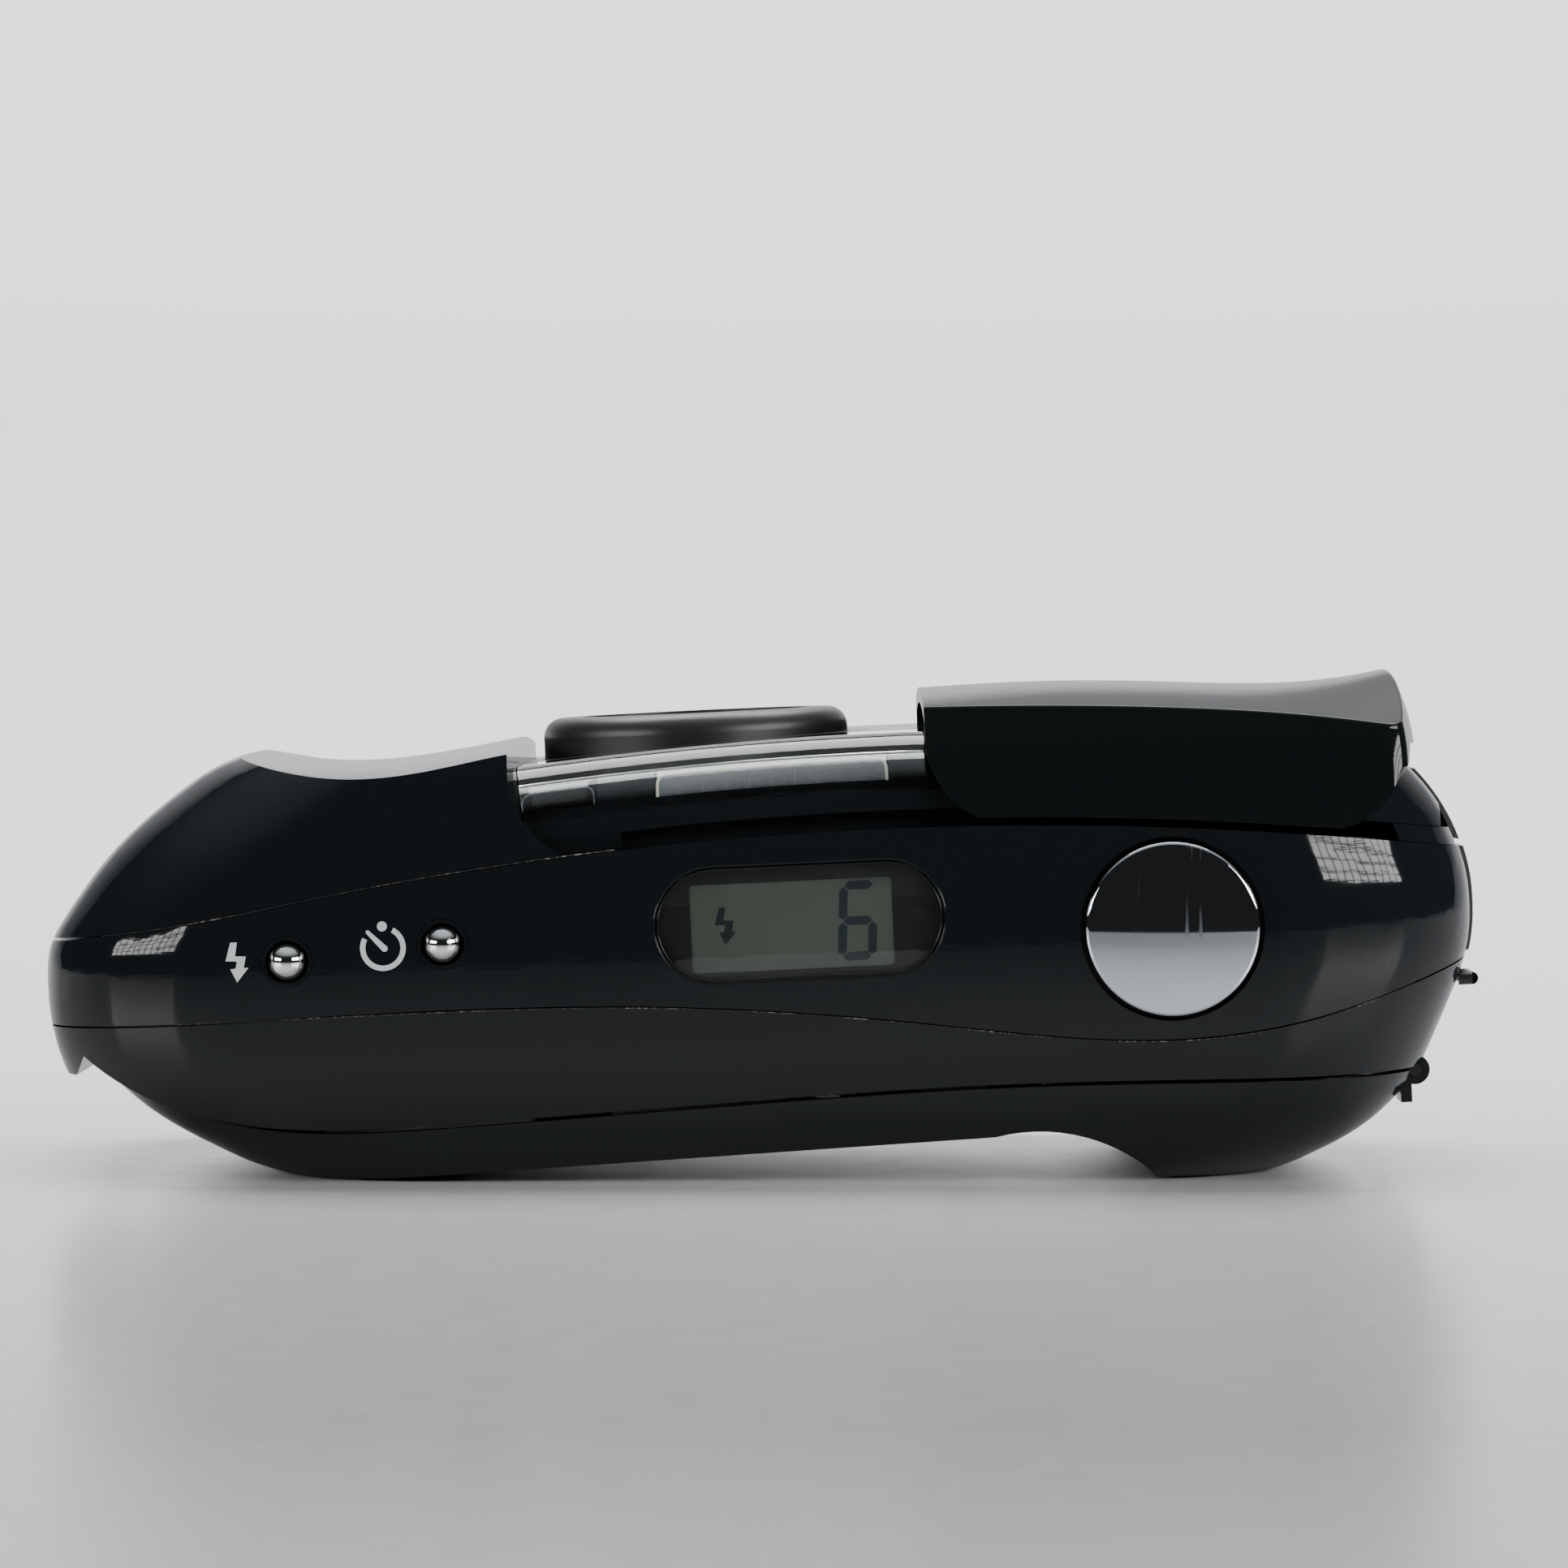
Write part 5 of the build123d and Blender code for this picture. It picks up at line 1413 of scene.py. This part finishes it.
@dataclass
class Display:
    """The frame counter: liquid crystal glass behind a clear pill-shaped window.

    glass_box is the part of the glass that shows, as its lowest and highest x and z. Each rim is
    a name, how much larger than the window it is, and the radius of its bead.
    """

    form: CameraForm = FORM
    x: float = 3.45
    z: float = 18.9
    window_width: float = 22.7
    window_height: float = 9.1
    window_points: int = 64
    glass_level: float = -28.2
    mask_level: float = -28.24
    mask_thickness: float = 0.12
    mask_clear: float = 0.35
    glass_box: Tuple[float, float, float, float] = (-5.1, 10.75, 15.15, 22.05)
    glass_corner: float = 0.4
    rims: Tuple = (("display_rim_outer", 0.1, 0.09), ("display_rim_inner", -0.5, 0.06))
    rim_sunk: float = 0.02
    film: float = 0.01
    film_sunk: float = 0.03
    digit_left: float = 6.65
    digit_foot: float = 15.95
    digit_width: float = 2.35
    digit_height: float = 5.55
    digit_lean: float = 0.35
    stroke: float = 0.68
    segment_gap: float = 0.1
    bolt_x: float = -2.4
    bolt_z: float = 18.75
    bolt_height: float = 2.95

    def dress(self, frame: Dict, looks: Finishes) -> None:
        """Dresses the display's CAD nodes.

        Args:
            looks: The finishes.
        """
        dress(frame, {"lcd_window": looks.window, "lcd_display": looks.lcd})

    def glass(self, x: Array, z: Array) -> Array:
        """Depth of the liquid crystal glass, which is flat."""
        return self.glass_level + 0 * x

    def segments(self) -> Dict[str, Array]:
        """Outlines of the lit segments of a six: bars with pointed ends, each leaning with the digit.

        Returns:
            Outlines by the name of the segment.
        """
        w, h, s, gap = self.digit_width, self.digit_height, self.stroke, self.segment_gap
        flat = np.array([[0, 0], [s / 2, s / 2], [w - s / 2 - gap, s / 2], [w - gap, 0],
                         [w - s / 2 - gap, -s / 2], [s / 2, -s / 2]]) + [gap / 2, 0]
        tall = np.array([[0, gap], [s / 2, s / 2], [s / 2, h / 2 - s / 2 - gap], [0, h / 2 - gap],
                         [-s / 2, h / 2 - s / 2 - gap], [-s / 2, s / 2]])
        parts = {"foot": flat, "middle": flat + [0, h / 2], "head": flat + [0, h],
                 "low_left": tall, "high_left": tall + [0, h / 2], "low_right": tall + [w, 0]}
        slant = np.array([[1, 0], [self.digit_lean / h, 1]])
        return {k: v @ slant + [self.digit_left, self.digit_foot] for k, v in parts.items()}

    def build(self, looks: Finishes) -> None:
        """Builds the mask, the symbols on the glass and the window's two fine rims.

        Args:
            looks: The finishes.
        """
        bolt = bolt_outline(self.bolt_height) + [self.bolt_x, self.bolt_z]
        marks = [(name, outline, looks.lcd_mark) for name, outline in self.segments().items()]
        for name, outline, material in marks + [("bolt", bolt, looks.lcd_ink)]:
            add_print("counter_" + name, outline, self.glass, self.film, self.film_sunk, Body.MAIN,
                      material)
        self.mask(looks)
        for name, grow, radius in self.rims:
            outline = stadium_outline(self.x, self.z, self.window_width + grow, self.window_height + grow,
                                      self.window_points)
            path = np.stack([outline[:, 0], self.form.plate(*outline.T) + self.rim_sunk, outline[:, 1]], 1)
            add_bead(name, path, radius, Body.MAIN, looks.shell, closed=True)

    def mask(self, looks: Finishes) -> None:
        """A black mask with a rounded window: four rings of points round a pill and a rounded box.

        Args:
            looks: The finishes.
        """
        count, clear = self.window_points, self.mask_clear
        outer = stadium_outline(self.x, self.z, self.window_width - clear, self.window_height - clear, count)
        x0, x1, z0, z1 = self.glass_box
        r = self.glass_corner
        corners = [((x1 - r, z0 + r), -90), ((x1 - r, z1 - r), 0), ((x0 + r, z1 - r), 90),
                   ((x0 + r, z0 + r), 180)]
        inner = np.concatenate([arc(c, r, a, a + 90, count // 2) for c, a in corners])
        front, back = self.mask_level - self.mask_thickness, self.mask_level
        rings = [(outer, front), (inner, front), (inner, back), (outer, back)]
        points = np.concatenate([np.stack([o[:, 0], np.full(len(o), y), o[:, 1]], 1) for o, y in rings])
        faces = grid_faces(len(rings), 2 * count, close_rows=True, close_columns=True)
        outward(add_piece("display_mask", FORM.row(points), faces.tolist(), Body.MAIN, looks.gap))


@dataclass
class Controls:
    """The chrome shutter button and the two chrome balls in their dished rings."""

    form: CameraForm = FORM
    back: float = -27.8
    edge_round: float = 0.35
    dome_points: int = 60
    edge_points: int = 12
    flange_y: Pair = (-27.3, -26.9)
    flange_grow: float = 0.8
    stem_radius: float = 2.0
    stem_end: float = 0.2

    def dress(self, frame: Dict, looks: Finishes) -> None:
        """Dresses the buttons.

        Args:
            looks: The finishes.
        """
        dress(frame, {"flash_button": looks.bright, "timer_button": looks.bright,
                      "flash_button_bezel": looks.shell, "timer_button_bezel": looks.shell})

    def dome(self) -> Array:
        """Profile of the button: a shallow spherical dome with a rounded edge.

        The sphere's radius is the sum of radius squared and rise squared over twice the rise.

        Returns:
            (radius, y) from the axis round to the axis again.
        """
        form, r = self.form, self.edge_round
        radius, rise = form.shutter_radius, form.shutter_rise
        edge = -float(form.half(np.array(form.shutter_z))) - form.shutter_edge_proud
        sphere = (radius ** 2 + rise ** 2) / (2 * rise)
        rim = radius - r
        out = np.linspace(0, rim, self.dome_points)
        dome = edge - rise + sphere - np.sqrt(sphere ** 2 - out ** 2)
        lean = math.asin(rim / sphere)
        turn = np.linspace(lean, math.pi / 2, self.edge_points)[1:]
        bend_r = rim + r * (np.sin(turn) - math.sin(lean))
        bend_y = dome[-1] + r * (math.cos(lean) - np.cos(turn))
        side = np.array([(bend_r[-1], self.back), (0.0, self.back)])
        return np.concatenate([np.stack([out, dome], 1), np.stack([bend_r, bend_y], 1), side])

    def build(self, looks: Finishes) -> None:
        """Builds the shutter button and the flange that keeps it in the plate, turned round its axis.

        Args:
            looks: The finishes.
        """
        axis = (self.form.shutter_x, self.form.shutter_z)
        button = add_lathe("shutter_release_button", self.dome(), axis, Body.SHUTTER,
                           looks.chrome)
        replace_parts(button, "shutter_button")
        (low, high), stem = self.flange_y, self.stem_radius
        wide, end = self.form.shutter_radius + self.flange_grow, high + self.stem_end
        flange = np.array([(0.0, self.back), (stem, self.back), (stem, low), (wide, low), (wide, high),
                           (stem, high), (stem, end), (0.0, end)])
        add_lathe("shutter_button_flange", flange, axis, Body.SHUTTER, looks.satin)


@dataclass
class LensAssembly:
    """The satin lens ring, the inner barrel, the glass and what stands round them."""

    def dress(self, frame: Dict, looks: Finishes) -> None:
        """Dresses the lens.

        Args:
            looks: The finishes.
        """
        dress(frame, {"outer_barrel": looks.ring, "inner_barrel": looks.satin, "drive_barrel": looks.inner,
                      "lens_mount": looks.inner, "lens_collar": looks.satin, "front_lens": looks.lens,
                      "rear_lens": looks.lens, "shutter_unit": looks.inner})


@dataclass
class FrontWindows:
    """The clear panel with the flash and the viewfinder behind it.

    Angles are in degrees round the panel's rounded edge: 0 faces -Y and 90 faces the front.
    """

    form: CameraForm = FORM
    panel_thickness: float = 1.5
    air: float = 0.15
    hoop_start: float = 12.0
    hoop_bend: float = 24.0
    side_points: int = 13
    bend_points: int = 10
    crest_points: int = 38
    flash_x: Pair = (-7.3, 10.8)
    frame_radius: float = 0.13
    frame_end: float = 58.0
    frame_corner: float = 0.8
    line_count: int = 9
    line_points: int = 20
    line_angles: Pair = (10.0, 85.0)
    line_radius: float = 0.035
    line_sides: int = 6
    finder_x: Pair = (-18.0, -12.3)
    finder_end: float = 50.0
    finder_corner: float = 0.7
    finder_radius: float = 0.06

    def dress(self, frame: Dict, looks: Finishes) -> None:
        """Dresses the windows and the flash.

        Args:
            looks: The finishes.
        """
        dress(frame, {"window_panel": looks.window, "flash_window": looks.flash,
                      "flash_reflector": looks.reflector, "flash_tube": looks.tube,
                      "finder_objective": looks.window, "finder_housing": looks.inner,
                      "finder_eyepiece": looks.window})

    def under_panel(self, x: Array, angle: Array) -> Array:
        """Points on the inner side of the panel's rounded edge, an arc about a line along the track.

        Args:
            x: Places along the camera.
            angle: Angles round the edge.

        Returns:
            Points (n, 3).
        """
        form = self.form
        radius = form.front_round - self.panel_thickness - self.air
        y = -(form.core_half - form.core_draft - form.front_round)
        turn = np.radians(angle)
        track = form.front_radius - form.front_round + radius * np.sin(turn)
        return np.stack([x, y - radius * np.cos(turn), form.track_level(x, track)], -1)

    def hoop(self, span: Pair, end: float, corner: float) -> Array:
        """A path up one side of a window, along its crest and down the other side, with rounded corners.

        Args:
            span: X of both sides.
            end: Angle of the crest.
            corner: Size of the corners along X.

        Returns:
            Points (n, 3).
        """
        x0, x1 = span
        rise = np.linspace(0, 1, self.side_points + 1)[:-1]
        turn = np.linspace(0, math.pi / 2, self.bend_points)
        low, start = self.hoop_start, end - self.hoop_bend
        side_x, side_a = np.full(self.side_points, x0), low + (start - low) * rise
        bend_x, bend_a = x0 + corner * (1 - np.cos(turn)), start + (end - start) * np.sin(turn)
        run = np.linspace(x0 + corner, x1 - corner, self.crest_points + 2)[1:-1]
        x = np.concatenate([side_x, bend_x, run, (x0 + x1) - bend_x[::-1], (x0 + x1) - side_x[::-1]])
        a = np.concatenate([side_a, bend_a, np.full(self.crest_points, end), bend_a[::-1], side_a[::-1]])
        return self.under_panel(x, a)

    def build(self, looks: Finishes) -> None:
        """Builds the flash's cream frame, its fine moulded lines and the finder's outline, the last two as
        painted glints.

        Args:
            looks: The finishes.
        """
        path = self.hoop(self.flash_x, self.frame_end, self.frame_corner)
        add_bead("flash_frame", path, self.frame_radius, Body.MAIN, looks.cream, closed=False)
        # Painted glint: each moulded rib of the flash window is a thin grey bead that stands for the light it
        # catches.
        pitch = (self.flash_x[1] - self.flash_x[0]) / (self.line_count + 1)
        angles = np.linspace(*self.line_angles, self.line_points)
        for i in range(self.line_count):
            x = np.full(len(angles), self.flash_x[0] + pitch * (i + 1))
            add_bead(f"flash_rib_glint_{i + 1}", self.under_panel(x, angles), self.line_radius, Body.MAIN,
                     looks.line, closed=False, sides=self.line_sides)
        # Painted glint: a thin grey bead round the finder's window stands for the light on its edge.
        path = self.hoop(self.finder_x, self.finder_end, self.finder_corner)
        add_bead("finder_edge_glint", path, self.finder_radius, Body.MAIN, looks.line, closed=False)


@dataclass
class Interior:
    """The chassis, the film drive, the electronics and the battery."""

    def dress(self, frame: Dict, looks: Finishes) -> None:
        """Dresses what shows when the back or the battery door is open.

        Args:
            looks: The finishes.
        """
        dress(frame, {
            "chassis": looks.inner, "film_spool": looks.inner, "film_motor": looks.steel,
            "rewind_fork": looks.satin, "film_sprocket": looks.satin, "pressure_plate": looks.anodised,
            "pressure_spring": looks.brass, "rocker_bracket": looks.inner, "circuit_board": looks.board,
            "switch_posts": looks.board, "flash_capacitor": looks.capacitor, "battery": looks.battery,
            "battery_contact": looks.brass,
        })


# Studio


@dataclass
class Studio:
    """Pale floor and sweep, two windows, a wash on the sweep and the photograph's viewing angle.

    Sizes are in metres, angles in degrees. Each light is its place, the point that it faces, its
    width and height, and its watts. Painted shade darkens the sheet's colour within its front span of depth
    and its top span of height. Patches of its gloss are sheet_pitch millimetres wide.
    """

    eye: Triple = (0.0062, -0.6, 0.0443)
    pitch: float = -1.3
    roll: float = 0.4
    lens: float = 168.0
    floor_front: float = -0.372
    floor_back: float = 1.15
    sweep: float = 0.4
    sweep_points: int = 24
    wall_top: float = 1.2
    half_width: float = 1.6
    front_shade_span: Pair = (-0.20, 0.12)
    front_shade_level: float = 0.36
    top_shade_span: Pair = (0.235, 0.36)
    top_shade_level: float = 0.6
    sheet_gloss: Pair = (0.23, 0.26)
    sheet_pitch: float = 3.8461538
    left_window: Tuple = ((-0.61, -0.39, 0.20), (-0.05, -0.03, 0.02), (0.56, 0.16), 4.5)
    right_window: Tuple = ((0.60, -0.40, 0.26), (0.05, -0.03, 0.025), (0.66, 0.20), 7.5)
    sweep_wash: Tuple = ((0.0, 0.80, 1.30), (0.0, 0.98, 0.0), (1.3, 1.2), 43.0)
    bar_width: float = 0.009
    bar_gap: float = 0.01
    bar_columns: int = 12
    bar_rows: int = 5
    room_colour: Tuple = (0.93, 0.97, 1.0, 1.0)
    room_glow: float = 0.02
    ceiling_start: float = 0.45
    ceiling_glow: float = 0.7

    def camera(self) -> None:
        """Places the camera level with the lens, a little above the floor, looking along +Y."""
        data = bpy.data.cameras.new("view")
        data.lens, data.sensor_width, data.clip_start = self.lens, 36.0, 0.05
        camera = bpy.data.objects.new("view", data)
        camera.location = self.eye
        camera.rotation_mode = "YXZ"
        camera.rotation_euler = (math.radians(90 + self.pitch), math.radians(self.roll), 0.0)
        bpy.context.scene.collection.objects.link(camera)
        bpy.context.scene.camera = camera

    def shaded_sheet_finish(self) -> bpy.types.Material:
        """White laminate: soft mirror images; painted shade greys it in front of the camera and high on the
        wall.

        Returns:
            The material.
        """
        material, tree, shader, place = Finish("matt white laminate with painted shade", "#dcdde0", 0.5).start()
        gloss = clouds(tree, place, self.sheet_pitch, 6.0, (0.3, 0.7), self.sheet_gloss)
        tree.links.new(gloss, shader.inputs["Roughness"])
        axes = add_node(tree, "ShaderNodeSeparateXYZ", {}, {"Vector": place})
        # Painted shade: the colour is scaled down towards the camera and up the wall, where the light falls
        # off.
        (near, far), (low, high) = self.front_shade_span, self.top_shade_span
        depth = add_node(tree, "ShaderNodeMapRange",
                         {"From Min": near, "From Max": far, "To Min": self.front_shade_level, "To Max": 1.0},
                         {"Value": axes.outputs["Y"]})
        height = add_node(tree, "ShaderNodeMapRange",
                          {"From Min": low, "From Max": high, "To Min": 1.0, "To Max": self.top_shade_level},
                          {"Value": axes.outputs["Z"]})
        tone = add_node(tree, "ShaderNodeMath", {"operation": "MULTIPLY"},
                        {0: depth.outputs["Result"], 1: height.outputs["Result"]})
        colour = add_node(tree, "ShaderNodeMix", {"data_type": "RGBA", 6: (0, 0, 0, 1), 7: linear("#e6e7ea")},
                          {0: tone.outputs[0]})
        tree.links.new(colour.outputs[2], shader.inputs["Base Color"])
        return material

    def ground(self) -> None:
        """One swept sheet: flat floor, a quarter circle, then an upright backdrop."""
        turn = np.radians(np.linspace(0, 90, self.sweep_points))
        wall = self.floor_back + self.sweep
        y = np.concatenate([[self.floor_front], self.floor_back + self.sweep * np.sin(turn), [wall]])
        z = np.concatenate([[0.0], self.sweep * (1 - np.cos(turn)), [self.wall_top]])
        x = np.tile([-self.half_width, self.half_width], (len(y), 1))
        points = np.stack([x, np.tile(y[:, None], (1, 2)), np.tile(z[:, None], (1, 2))], -1)
        mesh = bpy.data.meshes.new("studio_floor")
        mesh.from_pydata(points.reshape(-1, 3).tolist(), [], grid_faces(len(y), 2).tolist())
        mesh.polygons.foreach_set("use_smooth", [True] * len(mesh.polygons))
        mesh.materials.append(self.shaded_sheet_finish())
        floor = bpy.data.objects.new("studio_floor", mesh)
        bpy.context.scene.collection.objects.link(floor)

    def soft_box(self, name: str, place: Triple, target: Triple, size: Pair, power: float) -> None:
        """An area light that faces a point.

        Args:
            name: Its name.
            place: Its middle.
            target: The point that it faces.
            size: Width and height.
            power: Watts.
        """
        data = bpy.data.lights.new(name, "AREA")
        data.shape, data.size, data.size_y, data.energy = "RECTANGLE", *size, power
        light = bpy.data.objects.new(name, data)
        light.location = place
        light.rotation_euler = (Vector(target) - Vector(place)).to_track_quat("-Z", "Y").to_euler()
        bpy.context.scene.collection.objects.link(light)

    def window(self, name: str, place: Triple, target: Triple, size: Pair, power: float) -> None:
        """A lit window: an area light behind dark glazing bars, which its reflections show.

        Args:
            name: Its name.
            place: Its middle.
            target: The point that it faces.
            size: Width and height.
            power: Watts.
        """
        self.soft_box(name, place, target, size, power)
        turn = (Vector(target) - Vector(place)).to_track_quat("-Z", "Y").to_matrix()
        half_w, half_h, t = size[0] / 2, size[1] / 2, self.bar_width / 2
        upright = [(x - t, x + t, -half_h, half_h) for x in np.linspace(-half_w, half_w, self.bar_columns)]
        level = [(-half_w, half_w, y - t, y + t) for y in np.linspace(-half_h, half_h, self.bar_rows)]
        corners = [(x, y, -self.bar_gap) for x0, x1, y0, y1 in upright + level
                   for x, y in ((x0, y0), (x1, y0), (x1, y1), (x0, y1))]
        mesh = bpy.data.meshes.new(name + " bars")
        mesh.from_pydata([turn @ Vector(c) + Vector(place) for c in corners], [],
                         [[i, i + 1, i + 2, i + 3] for i in range(0, len(corners), 4)])
        # Painted wood against the light: flat black strips between the bright panes.
        mesh.materials.append(Finish("dark window bars", "#080808", 0.6).make())
        bars = bpy.data.objects.new(name + " bars", mesh)
        bpy.context.scene.collection.objects.link(bars)

    def room(self) -> None:
        """A dark room whose ceiling glows: the light grows smoothly with the height looked at."""
        world = bpy.data.worlds.new("dark room")
        world.use_nodes = True
        tree = world.node_tree
        sky = add_node(tree, "ShaderNodeTexCoord").outputs["Generated"]
        height = add_node(tree, "ShaderNodeSeparateXYZ", {}, {"Vector": sky}).outputs["Z"]
        glow = add_node(tree, "ShaderNodeMapRange",
                        {"From Min": self.ceiling_start, "From Max": 1.0, "To Min": self.room_glow,
                         "To Max": self.ceiling_glow, "interpolation_type": "SMOOTHSTEP"}, {"Value": height})
        tree.links.new(glow.outputs["Result"], tree.nodes["Background"].inputs["Strength"])
        tree.nodes["Background"].inputs["Color"].default_value = self.room_colour
        bpy.context.scene.world = world

    def build(self) -> None:
        """Builds the studio."""
        self.room()
        self.ground()
        self.camera()
        self.window("left window", *self.left_window)
        self.window("right window", *self.right_window)
        self.soft_box("sweep wash", *self.sweep_wash)


def main() -> None:
    """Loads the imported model, dresses it, adds the new pieces and sets up the studio."""
    logging.basicConfig(level=logging.INFO, format="%(name)s: %(message)s")
    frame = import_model()
    looks = Finishes()
    for assembly in (Casing(), Display(), Controls(), LensAssembly(), FrontWindows(), Interior()):
        assembly.dress(frame, looks)
    for assembly in (SlidingCover(), SlotSeal(), SeamDust(), PlatePrints(), Display(), Controls(),
                     FrontWindows()):
        assembly.build(looks)
    Studio().build()
    bpy.context.view_layer.update()


if __name__ == "__main__":
    main()
